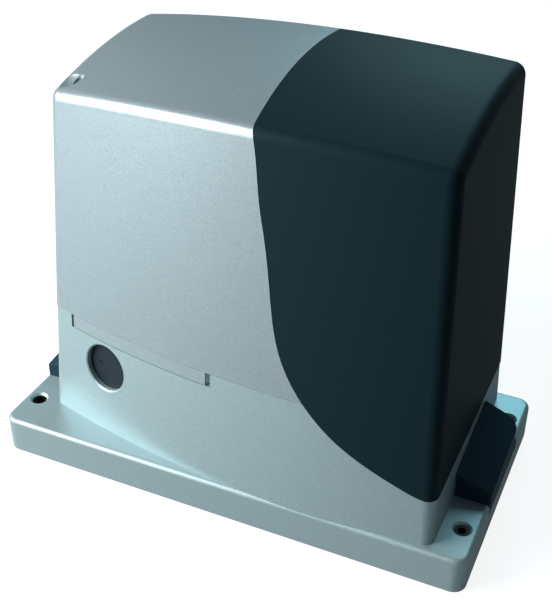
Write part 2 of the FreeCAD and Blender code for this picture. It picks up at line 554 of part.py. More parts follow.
hollow = cap_block(mm.cap_wall).fuse(block(
    mm.body_half - 8, mm.cap_front_y + mm.cap_wall, 12,
    mm.flange_len / 2 - mm.cap_wall, mm.cap_back_y - mm.cap_wall, 24))
cap = cap_block(0.0).cut(hollow).cut(form(8.0, COLUMN_HIGH, 0.5 - mm.cap_gap))
cap = cap.cut(block(mm.body_half - 9.5, -100, 15, mm.body_half + 0.5, 100, 27))
right_cap = node("side_cap_right", solid("side_cap_right", cap.removeSplitter()))
mirrored_cap = cap.mirror(Vector(), Vector(1, 0, 0)).removeSplitter()
left_cap = node("side_cap_left", solid("side_cap_left", mirrored_cap))

# ---------------------------------------------------------------- cover screw and its post
on_screw = ("screw_x", "screw_y")
post = fuse("post_blank", rod("post_body", 4.5, "post_top_z - %r" % POST_FOOT_Z, *on_screw, POST_FOOT_Z),
            rod("post_tenon", 1.6, 14.5, *on_screw, 46))
cover_post = node("cover_post", cut(
    "cover_post", post, rod("post_bore", 1.86, 15, *on_screw, "post_top_z - 14")))
screw = fuse("screw_blank", rod("screw_head", "screw_head_r", 3.0, *on_screw, "post_top_z + screw_seat"),
             rod("screw_shank", 1.8, 16.0, *on_screw, "post_top_z - 10"))
cover_screw = node("cover_screw", cut("cover_screw", screw, box(
    "screw_slot", "screw_x - 4", "screw_y - 0.5", "post_top_z + 7.3", 8, 1, 3),
    box("screw_cross", "screw_x - 0.5", "screw_y - 4", "post_top_z + 7.3", 1, 8, 3)))

# ---------------------------------------------------------------- gearbox lid, motor, worm shaft
on_worm = ("worm_x", "wheel_y")
lid_blank = box("lid_blank", "chamber_left - 1", "chamber_front", "lid_z",
                "chamber_right - chamber_left + 1", 122, "lid_t")
gear_lid = node("gear_lid", cut(
    "gear_lid", lid_blank, rod("lid_shaft_hole", 9.0, 20, *on_worm, 95),
    *[rod("lid_hole", 1.75, 20, x, y, 95) for x, y in lid_screws]))
for i, (x, y) in enumerate(lid_screws, 1):
    head = fuse("lid_screw_blank", rod("lid_head", 3.4, 2.6, x, y, "lid_z + lid_t"),
                rod("lid_shank", 1.65, 18, x, y, "lid_z + lid_t - 17.5"))
    name = "lid_screw_%d" % i
    node(name, cut(name, head, box("lid_slot", x - 4, y - 0.45, "lid_z + lid_t + 1.4", 8, 0.9, 3)))

can = rod("can_blank", "motor_r", "motor_h", *on_worm, "lid_z + lid_t")
can_rim = fillet("can_rounds", can, 2.5, lambda e: e.BoundBox.ZMin > 190 and e.BoundBox.XLength > 50)
motor_can = node("motor_can", cut("motor_can", can_rim, rod("can_bore", 4.05, 20, *on_worm, "lid_z + 4")))
cap_z = "lid_z + lid_t + motor_h"
cap_blank = fuse("cap_blank", rod("cap_body", "motor_r - 2", "motor_cap_h", *on_worm, cap_z),
                 rod("cap_nose", 11, "motor_cap_h + 5", *on_worm, cap_z),
                 box("brush_a", "worm_x - motor_r - 1", "wheel_y - 6", cap_z + " + 3", 16, 12, 10),
                 box("brush_b", "worm_x + motor_r - 15", "wheel_y - 6", cap_z + " + 3", 16, 12, 10))
motor_cap = node("motor_cap", cap_blank)

# The worm: a padded core and an additive helix swept from one sketched thread section.
def sketch_on(body, plane, name):
    obj = body.newObject("Sketcher::SketchObject", name)
    obj.AttachmentSupport = [(body.Origin.OriginFeatures[plane], "")]
    obj.MapMode = "FlatFace"
    return obj


def padded_rod(body, name, radius, length, offset):
    """A round pad on the body's ground plane, its radius driven by the sheet."""
    disc = sketch_on(body, 3, name + "_circle")
    disc.addGeometry(Part.Circle(Vector(), Vector(0, 0, 1), 5.0))
    disc.addConstraint(Sketcher.Constraint("Coincident", 0, 3, -1, 1))
    disc.addConstraint(Sketcher.Constraint("Radius", 0, 5.0))
    disc.renameConstraint(1, "radius")
    disc.setExpression("Constraints.radius", formula(radius))
    disc.AttachmentOffset = Placement(Vector(0, 0, offset), Rotation())
    rod_pad = body.newObject("PartDesign::Pad", name)
    rod_pad.Profile = disc
    bind(rod_pad, Length=length)
    return rod_pad


worm = doc.addObject("PartDesign::Body", "worm_shaft")
padded_rod(worm, "worm_shank", "4.0", "100.0", -50.0)
padded_rod(worm, "worm_core", "worm_core_r", "46.0", -24.0)
thread = sketch_on(worm, 4, "worm_thread")
r_root, r_tip, low = mm.worm_core_r - 0.5, mm.worm_tip_r, -2 * mm.worm_pitch
section = [(r_root, low - 1.15), (r_tip, low - 0.85), (r_tip, low + 0.85), (r_root, low + 1.15)]
for (ax, az), (bx, bz) in zip(section, section[1:] + section[:1]):
    thread.addGeometry(Part.LineSegment(Vector(ax, az, 0), Vector(bx, bz, 0)))
for i in range(4):
    thread.addConstraint(Sketcher.Constraint("Coincident", i, 2, (i + 1) % 4, 1))
doc.recompute()
helix = worm.newObject("PartDesign::AdditiveHelix", "worm_helix")
helix.Profile = thread
helix.ReferenceAxis = (thread, ["V_Axis"])
helix.Mode = 0
bind(helix, Pitch="worm_pitch", Height="4 * worm_pitch")
worm.Tip = helix
place(worm, "worm_x", "wheel_y", "shaft_z")
worm_shaft = node("worm_shaft", worm)
worm_bearing = node("worm_bearing", cut(
    "worm_bearing", rod("wb_outer", 9.5, 7.0, *on_worm, 10), rod("wb_inner", 4.05, 9, *on_worm, 9)))

# ---------------------------------------------------------------- worm wheel, clutch ring, fork
teeth = 36
flanks = []
for i in range(teeth):
    a = math.pi + math.radians(5 + 360.0 / teeth * i)
    for r, half_w in ((mm.wheel_root_r, -1.65), (mm.wheel_tip_r, -0.95),
                      (mm.wheel_tip_r, 0.95), (mm.wheel_root_r, 1.65)):
        t = a + half_w / r
        flanks.append(Vector(r * math.cos(t), mm.wheel_y - mm.wheel_w / 2, zs + r * math.sin(t)))
rim_wire = Part.makePolygon(flanks + flanks[:1])
wheel_blank = solid("wheel_blank", Part.Face(rim_wire).extrude(Vector(0, mm.wheel_w, 0)))
dogs = []
slots = []
for k in range(3):
    turn = Rotation(Vector(0, 1, 0), 120.0 * k)
    for group, name, half_w, r0, r1, y0, y1 in (
            (dogs, "dog", 3.0, 12.6, 17.6, "ring_y + ring_w - 1", "dog_h + 1"),
            (slots, "dog_slot", 3.5, 12.0, 18.2, "wheel_y - wheel_w / 2 - 1", 6.8)):
        part = bind(doc.addObject("Part::Box", name), Length=2 * half_w, Width=y1, Height=r1 - r0)
        at = turn.multVec(Vector(-half_w, 0, r0))
        group.append(place(part, at.x, y0, "shaft_z + %r" % at.z, turn))
worm_wheel = node("worm_wheel", cut("worm_wheel", wheel_blank,
                                    rod("wheel_bore", "wheel_bore_r", 40, 0, 0, "shaft_z", "Y"), *slots))
wheel_spacer = node("wheel_spacer", cut(
    "wheel_spacer", rod("spacer_outer", 13.5, 28.9, 0, "wheel_y + wheel_w / 2 + 0.3", "shaft_z", "Y"),
    rod("spacer_bore", "slide_r", 40, 0, 25, "shaft_z", "Y")))

ring_blank = cut("ring_turned", rod("ring_outer", "ring_r", "ring_w", 0, "ring_y", "shaft_z", "Y"),
                 cut("ring_groove", rod("groove_outer", 30, 6, 0, "ring_y + 3", "shaft_z", "Y"),
                     rod("groove_core", "ring_groove_r", 6, 0, "ring_y + 3", "shaft_z", "Y")))
clutch_ring = node("clutch_ring", cut(
    "clutch_ring", fuse("ring_with_dogs", ring_blank, *dogs),
    rod("ring_bore", "slide_r + 0.06", 40, 0, -20, "shaft_z", "Y"),
    box("ring_keyway", -3.4, -20, "shaft_z - 12.6", 6.8, 50, 25.2)))

fork_plate = box("fork_plate", -25, -0.6, 58, 62, 5.2, 44.5)
fork_link = box("fork_link", -19, HINGE_Y + mm.cam_base + mm.ring_travel + 0.4, 95.4, 10, 55, 7.1)
on_rod = ("fork_rod_x", -39.8, "fork_rod_z", "Y")
shift_fork = node("shift_fork", cut(
    "shift_fork", fuse("fork_blank", fork_plate, fork_link),
    rod("fork_mouth", 16.0, 40, 0, -20, "shaft_z", "Y"),
    box("fork_open", -16, -20, 40, 32, 40, "shaft_z - 40"),
    rod("fork_guide", "fork_rod_r + 0.05", 100, *on_rod),
    box("fork_relief", 25.5, -20, 50, 20, 40, 36)))
fork_rod = node("fork_rod", rod("fork_rod", "fork_rod_r", 118.5, *on_rod))


# ---------------------------------------------------------------- output shaft, bearings, seal, pinion
shaft_blank = fuse(
    "shaft_blank",
    rod("journal_front", "front_journal_r", 12.0, 0, "shaft_front_y", "shaft_z", "Y"),
    rod("journal_slide", "slide_r", "57.5 + 33.5", 0, -33.5, "shaft_z", "Y"),
    rod("journal_back", "back_journal_r", 26.0, 0, 57.5, "shaft_z", "Y"),
    rod("journal_pinion", "pinion_seat_r", "shaft_back_y - 83.5", 0, 83.5, "shaft_z", "Y"),
    box("clutch_key", -3, -14, "shaft_z - 12", 6, 22.5, 24),
    box("pinion_key", -3, "pinion_y", "shaft_z", 6, "pinion_w - 0.5", 12.8))
circlip_y = "pinion_y + pinion_w"
groove_tool = cut("shaft_groove", rod("groove_wide", 20, 1.3, 0, circlip_y, "shaft_z", "Y"),
                  rod("groove_narrow", "pinion_seat_r - 0.8", 1.3, 0, circlip_y, "shaft_z", "Y"))
output_shaft = node("output_shaft", cut("output_shaft", shaft_blank, groove_tool))


def ring(name, r_out, r_in, y, w):
    return cut(name, rod(name + "_outer", r_out, w, 0, y, "shaft_z", "Y"),
               rod(name + "_inner", r_in, "%s + 2" % w, 0, "%s - 1" % y, "shaft_z", "Y"))


for name, r_out, r_in, y, w in (
        ("bearing_front", "bearing_a_r", "front_journal_r + 0.05", "bearing_a_y", "bearing_a_w"),
        ("bearing_back", "bearing_b_r", "back_journal_r + 0.05", "bearing_b_y", "bearing_b_w"),
        ("oil_seal", "bearing_b_r", "back_journal_r + 0.08", "bearing_b_y + bearing_b_w + 0.4", "seal_w")):
    node(name, ring(name, r_out, r_in, y, w))
circlip_ring = ring("clip_ring", "pinion_seat_r + 3", "pinion_seat_r - 0.8", circlip_y + " + 0.1", 1.1)
clip_gap = box("clip_gap", -2.5, 100, "shaft_z - 16", 5, 12, 12)
node("pinion_circlip", cut("pinion_circlip", circlip_ring, clip_gap))


def involute_gear(teeth_n, module, pressure=20.0, steps=6):
    """Outline of a spur gear with true involute flanks, as points in its own plane."""
    pitch_r = teeth_n * module / 2
    base_r = pitch_r * math.cos(math.radians(pressure))
    tip_r, root_r = pitch_r + module, pitch_r - 1.25 * module
    inv = math.tan(math.radians(pressure)) - math.radians(pressure)
    half_at_pitch = math.pi / (2 * teeth_n) - 0.004
    out = []
    for i in range(teeth_n):
        mid = 2 * math.pi * i / teeth_n
        side = []
        for k in range(steps):
            r = max(base_r, root_r) + (tip_r - max(base_r, root_r)) * k / (steps - 1)
            t = math.acos(min(base_r / r, 1.0))
            side.append((r, half_at_pitch + inv - (math.tan(t) - t)))
        side.insert(0, (root_r, half_at_pitch + inv + 0.012))
        out += [(r, mid - a) for r, a in side] + [(r, mid + a) for r, a in reversed(side)]
    return [(r * math.cos(a), r * math.sin(a)) for r, a in out]


gear_pts = [Vector(x, mm.pinion_y, zs + z)
            for x, z in involute_gear(int(mm.pinion_teeth), mm.pinion_module)]
pinion_blank = solid("pinion_blank", Part.Face(Part.makePolygon(gear_pts + gear_pts[:1])).extrude(
    Vector(0, mm.pinion_w, 0)))
node("pinion", cut("pinion", pinion_blank, rod("pinion_bore", "pinion_seat_r", 60, 0, 70, "shaft_z", "Y"),
                   box("pinion_keyway", -3, 70, "shaft_z", 6, 60, 12.8)))

# ---------------------------------------------------------------- limit switch behind the cover
limit_blank = box("limit_blank", "limit_x - 20", 44, "lid_z + lid_t", 40, 34, 31)
limit_round = fillet("limit_rounds", limit_blank, 2.0, upright)
node("limit_body", cut("limit_body", limit_round, rod("limit_bore", 3.05, 12, "limit_x", 68, "limit_z", "Y"),
                       box("limit_face", "limit_x - 14", 43, "lid_z + lid_t + 4", 28, 2.5, 12)))
lever = [rod("lever_pivot", 3.0, 12, "limit_x", 70, "limit_z", "Y"),
         rod("lever_neck", 2.2, 18, "limit_x", 80, "limit_z", "Y"),
         rod("lever_arm", "limit_rod_r", 46, "limit_x", "limit_arm_y", "limit_z")]
for name, radius, z in (("lever_elbow", 2.4, "limit_z"), ("lever_tip", 3.0, "limit_z + 46")):
    ball = bind(doc.addObject("Part::Sphere", name), Radius=radius)
    lever.append(place(ball, "limit_x", "limit_arm_y", z))
for i in range(5):
    coil = bind(doc.addObject("Part::Torus", "lever_coil"), Radius1=3.6, Radius2=1.1)
    lever.append(place(coil, "limit_x", 82.6 + 2.0 * i, "limit_z", TURN["Y"]))
node("limit_lever", fuse("limit_lever", *lever))

# ---------------------------------------------------------------- transformer, terminals, cable grommet
toroid = rod("toroid_blank", "toroid_r", "toroid_h", "toroid_x", "toroid_y", TOROID_Z)
toroid = fillet("toroid_rounds", toroid, 9.0,
                lambda e: e.BoundBox.XLength > 50 and e.BoundBox.ZLength < 0.1)
node("transformer", cut("transformer", toroid, rod("toroid_bore", 9.0, 60, "toroid_x", "toroid_y", 10)))
toroid_top = "toroid_h + %r" % TOROID_Z
clamp = fuse("clamp_blank", rod("clamp_disc", 26, 1.5, "toroid_x", "toroid_y", toroid_top),
             rod("clamp_head", 6.0, 5.0, "toroid_x", "toroid_y", toroid_top),
             rod("clamp_bolt", 2.4, "toroid_h + 11", "toroid_x", "toroid_y", 3.6))
node("transformer_clamp", clamp)
mains_blank = box("mains_blank", -111, -6, "floor_t", 30, 20, 24)
node("mains_terminal", cut("mains_terminal", fillet("mains_rounds", mains_blank, 1.5, upright), *[
    rod("mains_screw", 3.0, 10, -105 + 9 * i, 4, "floor_t + 16") for i in range(3)] + [
    box("mains_entry", -108 + 9 * i, 8, "floor_t + 5", 6, 10, 7) for i in range(3)]))
gland = fuse("gland_blank", rod("gland_neck", "inlet_r", 8.0, "inlet_x", "inlet_y", 2.0),
             rod("gland_lip", "inlet_r + 3", 3.0, "inlet_x", "inlet_y", "floor_t"))
node("cable_gland", cut("cable_gland", gland, rod("gland_bore", 6.0, 40, "inlet_x", "inlet_y", -5)))

# ---------------------------------------------------------------- control board on its carrier
in_carrier = ("board_x - 3", "board_y + 4.6")
carrier = fuse(
    "board_carrier", box("carrier_plate", *in_carrier, "lid_z + lid_t", "board_w + 6", 2.5, 128),
    box("carrier_foot", *in_carrier, "lid_z + lid_t", 58, 44, 3.0),
    box("carrier_rib_a", *in_carrier, "lid_z + lid_t", 2.5, 30, 40),
    box("carrier_rib_b", "board_x + 50", "board_y + 4.6", "lid_z + lid_t", 2.5, 30, 40),
    box("carrier_top_rib", *in_carrier, "lid_z + lid_t + 122", "board_w + 6", 8, 2.5),
    *[rod("standoff", 3.0, 4.6, "board_x + %d" % dx, "board_y", "board_z + %d" % dz, "Y")
      for dx in (5, 115) for dz in (5, 107)])
node("board_carrier", carrier)
board = box("board_blank", "board_x", "board_y - 1.6", "board_z", "board_w", 1.6, "board_h")
node("control_board", board)
face_y = "board_y - 1.6"
strip_block = box("terminal_blank", "board_x + 6", face_y + " - 11", "board_z + 3", 78, 11, 10)
strip_holes = [box("wire_hole", "board_x + %r" % (8.0 + 6.4 * i), face_y + " - 12", "board_z + 4", 4, 8, 4)
               for i in range(12)]
node("terminal_strip", cut("terminal_strip", strip_block, *strip_holes))
node("relay_left", box("relay_left", "board_x + 10", face_y + " - 15", "board_z + 28", 19, 15, 15.5))
node("relay_right", box("relay_right", "board_x + 33", face_y + " - 15", "board_z + 28", 19, 15, 15.5))
node("capacitor", rod("capacitor", 8.0, 19, "board_x + 66", face_y + " - 19", "board_z + 36", "Y"))
node("receiver_card", box("receiver_card", "board_x + 88", face_y + " - 18", "board_z + 30", 3.0, 18, 42))
fuse_block = box("fuse_block", "board_x + 92", face_y + " - 9", "board_z + 4", 22, 9, 8)
node("fuse_holder", cut("fuse_holder", fuse_block,
                        rod("fuse_glass", 2.6, 26, "board_x + 90", face_y + " - 6", "board_z + 8", "X")))

# ---------------------------------------------------------------- check and write
doc.recompute()
os.makedirs("parts", exist_ok=True)
for obj in doc.Objects:
    if "Invalid" in obj.State or "Error" in obj.State:
        raise RuntimeError("%s: %s" % (obj.Name, obj.State))
for name, obj in nodes:
    shape = obj.Shape
    if shape.isNull() or not shape.isValid() or len(shape.Solids) != 1:
        raise RuntimeError("%s is not one valid solid (%d)" % (name, len(shape.Solids)))
for name, obj in nodes:
    obj.Shape.Solids[0].exportStep("parts/%s.step" % name)
print(len(nodes), "sub-parts written")
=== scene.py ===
import math

import bmesh
import bpy
from mathutils import Matrix, Vector


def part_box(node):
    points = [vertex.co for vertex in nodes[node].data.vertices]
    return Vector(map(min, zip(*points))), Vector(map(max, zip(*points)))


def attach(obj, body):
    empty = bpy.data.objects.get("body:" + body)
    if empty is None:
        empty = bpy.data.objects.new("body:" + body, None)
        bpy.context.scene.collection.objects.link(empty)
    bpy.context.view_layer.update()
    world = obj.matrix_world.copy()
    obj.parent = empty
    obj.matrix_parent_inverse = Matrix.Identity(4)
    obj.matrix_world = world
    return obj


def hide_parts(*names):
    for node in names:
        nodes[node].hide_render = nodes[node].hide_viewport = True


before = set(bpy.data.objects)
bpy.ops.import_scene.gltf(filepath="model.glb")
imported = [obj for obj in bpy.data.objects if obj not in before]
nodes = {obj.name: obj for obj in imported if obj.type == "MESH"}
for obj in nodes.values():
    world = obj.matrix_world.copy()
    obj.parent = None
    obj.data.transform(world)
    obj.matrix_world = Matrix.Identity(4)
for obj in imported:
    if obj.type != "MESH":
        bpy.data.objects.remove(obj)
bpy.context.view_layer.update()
MM = 0.001

# ------------------------------------------------------------------ the view
# Someone standing at the front right of the opener looks down at it from about 0.7 m away, so that
# the front, the roof and the right end all show.
VIEW_TURN = math.radians(24.035)
VIEW_RISE = math.radians(33.172)
VIEW_ROLL = math.radians(0.235)
VIEW_DISTANCE = 0.684
VIEW_TARGET = Vector((0.005, -0.003, 0.120))
VIEW_LENS = 63.16  # mm, on a sensor 36 mm wide
VIEW_SENSOR = 36.0
VIEW_NEAR = 0.02
back = Vector((math.sin(VIEW_TURN) * math.cos(VIEW_RISE),
               -math.cos(VIEW_TURN) * math.cos(VIEW_RISE), math.sin(VIEW_RISE)))
eye = bpy.data.objects.new("camera", bpy.data.cameras.new("camera"))
eye.data.lens = VIEW_LENS
eye.data.sensor_width = VIEW_SENSOR
eye.data.clip_start = VIEW_NEAR
facing = back.to_track_quat("Z", "Y").to_matrix().to_4x4()
roll = Matrix.Rotation(VIEW_ROLL, 4, "Z")
eye.matrix_world = Matrix.Translation(VIEW_TARGET + back * VIEW_DISTANCE) @ facing @ roll
bpy.context.scene.collection.objects.link(eye)
bpy.context.scene.camera = eye
bpy.context.scene.view_settings.view_transform = "Standard"


# ------------------------------------------------------------------ the studio
# White paper lies under the opener in a pale room. The camera and clear parts see the paper as white;
# reflections see a small share of that, because a bright surround would wash out the dark panel.
def linear(code):
    """An sRGB hex colour as the linear colour that a shader takes."""
    parts = [int(code[i:i + 2], 16) / 255 for i in (1, 3, 5)]
    return [c / 12.92 if c <= 0.04045 else ((c + 0.055) / 1.055) ** 2.4 for c in parts] + [1.0]


def add(tree, kind, settings=(), links=()):
    """One shader node with its settings, by property or input name, and what is linked into it."""
    made = tree.nodes.new(kind)
    for key, value in dict(settings).items():
        if isinstance(key, str) and hasattr(made, key):
            setattr(made, key, value)
        else:
            made.inputs[key].default_value = value
    for key, source in dict(links).items():
        tree.links.new(source, made.inputs[key])
    return made


PAPER = linear("#8E9496")
PAPER_GLOW = 0.88
PAPER_REACH = 2.5
ROOM = linear("#B4CDD2")
ROOM_LIGHT = 0.10
WHITE = linear("#FFFFFF")
MIRRORED_SHARE = 0.15


def paper_seen(tree):
    """1 for the camera and clear parts, a share for reflections, 0 for the light the paper gives."""
    rays = add(tree, "ShaderNodeLightPath")
    mirrored = add(tree, "ShaderNodeMath", {"operation": "MULTIPLY_ADD", 1: MIRRORED_SHARE},
                   {0: rays.outputs["Is Glossy Ray"], 2: rays.outputs["Is Camera Ray"]})
    total = add(tree, "ShaderNodeMath", {"operation": "ADD", "use_clamp": True},
                {0: mirrored.outputs[0], 1: rays.outputs["Is Transmission Ray"]})
    return total.outputs[0]


sheet = bmesh.new()
bmesh.ops.create_grid(sheet, x_segments=8, y_segments=8, size=PAPER_REACH)
floor_data = bpy.data.meshes.new("studio_floor")
sheet.to_mesh(floor_data)
sheet.free()
floor = bpy.data.objects.new("studio_floor", floor_data)
bpy.context.scene.collection.objects.link(floor)
paper = bpy.data.materials.new("studio_paper")
paper.use_nodes = True
tree = paper.node_tree
tree.nodes.clear()
matt = add(tree, "ShaderNodeBsdfDiffuse", {"Color": PAPER})
glow = add(tree, "ShaderNodeEmission", {"Color": WHITE, "Strength": PAPER_GLOW})
lit = add(tree, "ShaderNodeAddShader", {}, {0: matt.outputs[0], 1: glow.outputs[0]})
seen = add(tree, "ShaderNodeMixShader", {}, {0: paper_seen(tree), 1: matt.outputs[0], 2: lit.outputs[0]})
add(tree, "ShaderNodeOutputMaterial", {}, {"Surface": seen.outputs[0]})
floor_data.materials.append(paper)

room = bpy.data.worlds.new("studio_room")
bpy.context.scene.world = room
room.use_nodes = True
tree = room.node_tree
tree.nodes.clear()
even = add(tree, "ShaderNodeBackground", {"Color": ROOM, "Strength": ROOM_LIGHT})
white = add(tree, "ShaderNodeBackground", {"Color": WHITE, "Strength": 1.0})
seen = add(tree, "ShaderNodeMixShader", {}, {0: paper_seen(tree), 1: even.outputs[0], 2: white.outputs[0]})
add(tree, "ShaderNodeOutputWorld", {}, {"Surface": seen.outputs[0]})


# A big softbox lights the front from the left, a long narrow one draws the bright line along the
# eave, a low one reaches the foot, and a cool one behind the opener lights the roof.
def softbox(name, place, aim, along, width, height, watts, tint="#FFFFFF"):
    """A rectangular lamp at a place, turned to its aim, its width lying along a direction."""
    lamp = bpy.data.lights.new(name, "AREA")
    lamp.shape = "RECTANGLE"
    lamp.size = width
    lamp.size_y = height
    lamp.energy = watts
    lamp.color = linear(tint)[:3]
    stand = bpy.data.objects.new(name, lamp)
    away = (Vector(place) - Vector(aim)).normalized()
    side = (Vector(along) - away * away.dot(Vector(along))).normalized()
    turned_to = Matrix((side, away.cross(side), away)).transposed().to_4x4()
    stand.matrix_world = Matrix.Translation(place) @ turned_to
    bpy.context.scene.collection.objects.link(stand)


softbox("key_softbox", (-0.85, -0.72, 0.50), aim=(-0.05, 0, 0.13), along=(1, -1, 0),
        width=0.7, height=0.6, watts=15.3)
softbox("eave_strip", (-0.80, -0.48, 0.78), aim=(-0.06, -0.09, 0.26), along=(-0.80, 0.46, -0.44),
        width=0.9, height=0.12, watts=7.6)
softbox("low_softbox", (-0.9, -1.2, 0.15), aim=(-0.05, 0, 0.03), along=(1, -0.7, 0),
        width=0.8, height=0.4, watts=1.2)
softbox("back_softbox", (-0.05, 1.05, 0.95), aim=(0, 0, 0.15), along=(1, 0, 0),
        width=0.5, height=0.8, watts=6.4, tint="#B0EAF8")


# ------------------------------------------------------------------ body and foot
# One aluminium die casting: the long foot flange and the body that stands on it. It is sprayed in
# silver paint, which is fine aluminium flake in a matt clear coat.
def dress(names, finish):
    for name in names:
        data = nodes[name].data
        data.materials.clear()
        data.materials.append(finish)


def start(name):
    """A new material, its node tree and its object coordinates."""
    finish = bpy.data.materials.new(name)
    finish.use_nodes = True
    finish.node_tree.nodes.clear()
    return finish, finish.node_tree, add(finish.node_tree, "ShaderNodeTexCoord").outputs["Object"]


NOISE_SPAN = {"From Min": 0.3, "From Max": 0.7}  # a noise pattern rarely leaves this range


def patterned(tree, dark, light, shade, marks, gloss, relief, bump, settings):
    """A surface whose colour follows shade, its roughness marks, and its bump relief.

    gloss is the roughness at both ends of the pattern, and bump is a strength and a height in m.
    """
    colour = add(tree, "ShaderNodeMix", {"data_type": "RGBA", 6: linear(dark), 7: linear(light)}, {0: shade})
    sheen = add(tree, "ShaderNodeMapRange", {**NOISE_SPAN, "To Min": gloss[0], "To Max": gloss[1]},
                {"Value": marks})
    raised = add(tree, "ShaderNodeBump", {"Strength": bump[0], "Distance": bump[1]}, {"Height": relief})
    surface = add(tree, "ShaderNodeBsdfPrincipled", settings,
                  {"Base Color": colour.outputs[2], "Roughness": sheen.outputs[0],
                   "Normal": raised.outputs[0]})
    add(tree, "ShaderNodeOutputMaterial", {}, {"Surface": surface.outputs[0]})


FLAKE = 0.9  # mm; the real flake is far finer, and is drawn as coarse as it needs to show


def silver_paint(name, dark, light, peel_mm, roughness):
    """Aluminium flake in a clear coat: flecks that sparkle faintly, over a slight orange peel."""
    finish, tree, place = start(name)
    flake = add(tree, "ShaderNodeTexNoise", {"Scale": 1.0 / (FLAKE * MM), "Detail": 2.0, "Roughness": 0.6},
                {"Vector": place}).outputs["Fac"]
    tone = add(tree, "ShaderNodeMapRange", NOISE_SPAN, {"Value": flake})
    peel = add(tree, "ShaderNodeTexNoise", {"Scale": 1.0 / (peel_mm * MM), "Detail": 1.0}, {"Vector": place})
    relief = add(tree, "ShaderNodeMath", {"operation": "MULTIPLY_ADD", 1: 0.5},
                 {0: flake, 2: peel.outputs["Fac"]})
    patterned(tree, dark, light, tone.outputs[0], flake, (roughness - 0.05, roughness + 0.06),
              relief.outputs[0], (0.35, 0.06 * MM), {"Metallic": 0.5, "Specular IOR Level": 0.3})
    return finish


# On the casting the coat lies over a rougher ground, so it looks a little duller and paler.
dress(["base_casting"], silver_paint("silver_paint_on_casting", "#9AB1B5", "#AEC3C7",
                                     peel_mm=2.2, roughness=0.44))

# ------------------------------------------------------------------ silver half of the cover
# A plastic moulding, 3 mm thick, in the same silver paint as the body. It is smoother than the
# casting, so it mirrors the lamps more sharply along the eave.
dress(["cover_shell"], silver_paint("silver_paint_on_cover", "#98A9AF", "#ABBBC1",
                                    peel_mm=2.6, roughness=0.34))


# ------------------------------------------------------------------ dark half of the cover
# The second moulding of the cover is slate-coloured all through and unpainted. A spark-eroded tool
# gave it a fine even grain, which keeps it nearly matt.
def moulded(name, dark, light, grain_mm, depth_mm, roughness, shine=0.35):
    """Plastic, rubber or lacquer with the grain of its tool, which softens what it mirrors."""
    finish, tree, place = start(name)
    grain = add(tree, "ShaderNodeTexNoise",
                {"Scale": 1.0 / (grain_mm * MM), "Detail": 3.0, "Roughness": 0.55},
                {"Vector": place}).outputs["Fac"]
    patterned(tree, dark, light, grain, grain, (roughness - 0.06, roughness + 0.08),
              grain, (0.6, depth_mm * MM), {"IOR": 1.45, "Specular IOR Level": shine})
    return finish


# Almost no shine: the panel stays one deep slate from the eave to its tip.
dress(["cover_panel"], moulded("slate_moulding", "#11252A", "#182F35", grain_mm=0.6, depth_mm=0.04,
                               roughness=0.52, shine=0.07))

# ------------------------------------------------------------------ side caps
# A soft dark cap pushes over each anchor nut and bolt end, into a well in the foot. Its plastic is a
# shade bluer than the panel's and as matt.
dress(["side_cap_left", "side_cap_right"],
      moulded("slate_cap_moulding", "#1C3440", "#243E4C", grain_mm=0.6, depth_mm=0.04,
              roughness=0.50, shine=0.1))

# ------------------------------------------------------------------ release handle and its pin
# The die-cast bar swings out of the front wall on a steel pin and pulls the clutch out of gear.
# It carries the body's paint, worn a little smoother; the pin is zinc plated.
dress(["release_handle"], silver_paint("silver_paint_on_handle", "#98A9AF", "#ABBBC1",
                                       peel_mm=2.0, roughness=0.42))


def worked_metal(name, dark, light, mark_mm, stretch, roughness):
    """Bare or plated metal with the marks of how it was cut, drawn out by stretch."""
    finish, tree, place = start(name)
    pulled = add(tree, "ShaderNodeMapping", {"Scale": stretch}, {"Vector": place})
    marks = add(tree, "ShaderNodeTexNoise", {"Scale": 1.0 / (mark_mm * MM), "Detail": 4.0, "Roughness": 0.6},
                {"Vector": pulled.outputs[0]}).outputs["Fac"]
    patterned(tree, dark, light, marks, marks, (roughness - 0.08, roughness + 0.1),
              marks, (0.5, 0.03 * MM), {"Metallic": 1.0})
    return finish


EVEN = (1.0, 1.0, 1.0)
# Pale grey zinc with a soft mottle and no direction.
zinc = worked_metal("zinc_plate", "#A3A7A6", "#BFC3C1", mark_mm=1.4, stretch=EVEN, roughness=0.34)
dress(["release_pin"], zinc)

# ------------------------------------------------------------------ key lock
# A disc slides aside to uncover the lock. The plated barrel turns in its plate and swings a cam in
# front of the handle's hook; a hexagon nut holds the cam. The disc shines a little more than the panel.
dress(["lock_disc"], moulded("slate_disc_moulding", "#17252B", "#1E2C33", grain_mm=0.5, depth_mm=0.03,
                             roughness=0.45, shine=0.25))
dress(["lock_barrel", "lock_cam", "lock_nut", "lock_plate"], zinc)

# ------------------------------------------------------------------ levelling screws
# Four socket set screws through the foot's corners, blackened in a hot salt bath and oiled, which
# leaves them near black with a low metallic gleam.
dress(["level_screw_" + corner for corner in ("front_left", "front_right", "back_left", "back_right")],
      worked_metal("blackened_steel", "#17191B", "#2A2D30", mark_mm=0.8, stretch=EVEN, roughness=0.36))

# ------------------------------------------------------------------ cover screw and post
# One screw holds the cover on a post that is screwed into a boss of the body. Both are zinc plated.
dress(["cover_screw", "cover_post"], zinc)

# ------------------------------------------------------------------ gearbox lid
# The lid is milled flat from an aluminium plate and closed with four plated screws. The cutter left
# long fine lines along it, which stretch what it mirrors.
dress(["gear_lid"], worked_metal("milled_aluminium", "#A6A9AC", "#BCBFC1", mark_mm=0.8,
                                 stretch=(0.08, 1.0, 1.0), roughness=0.36))
dress(["lid_screw_1", "lid_screw_2", "lid_screw_3", "lid_screw_4"], zinc)


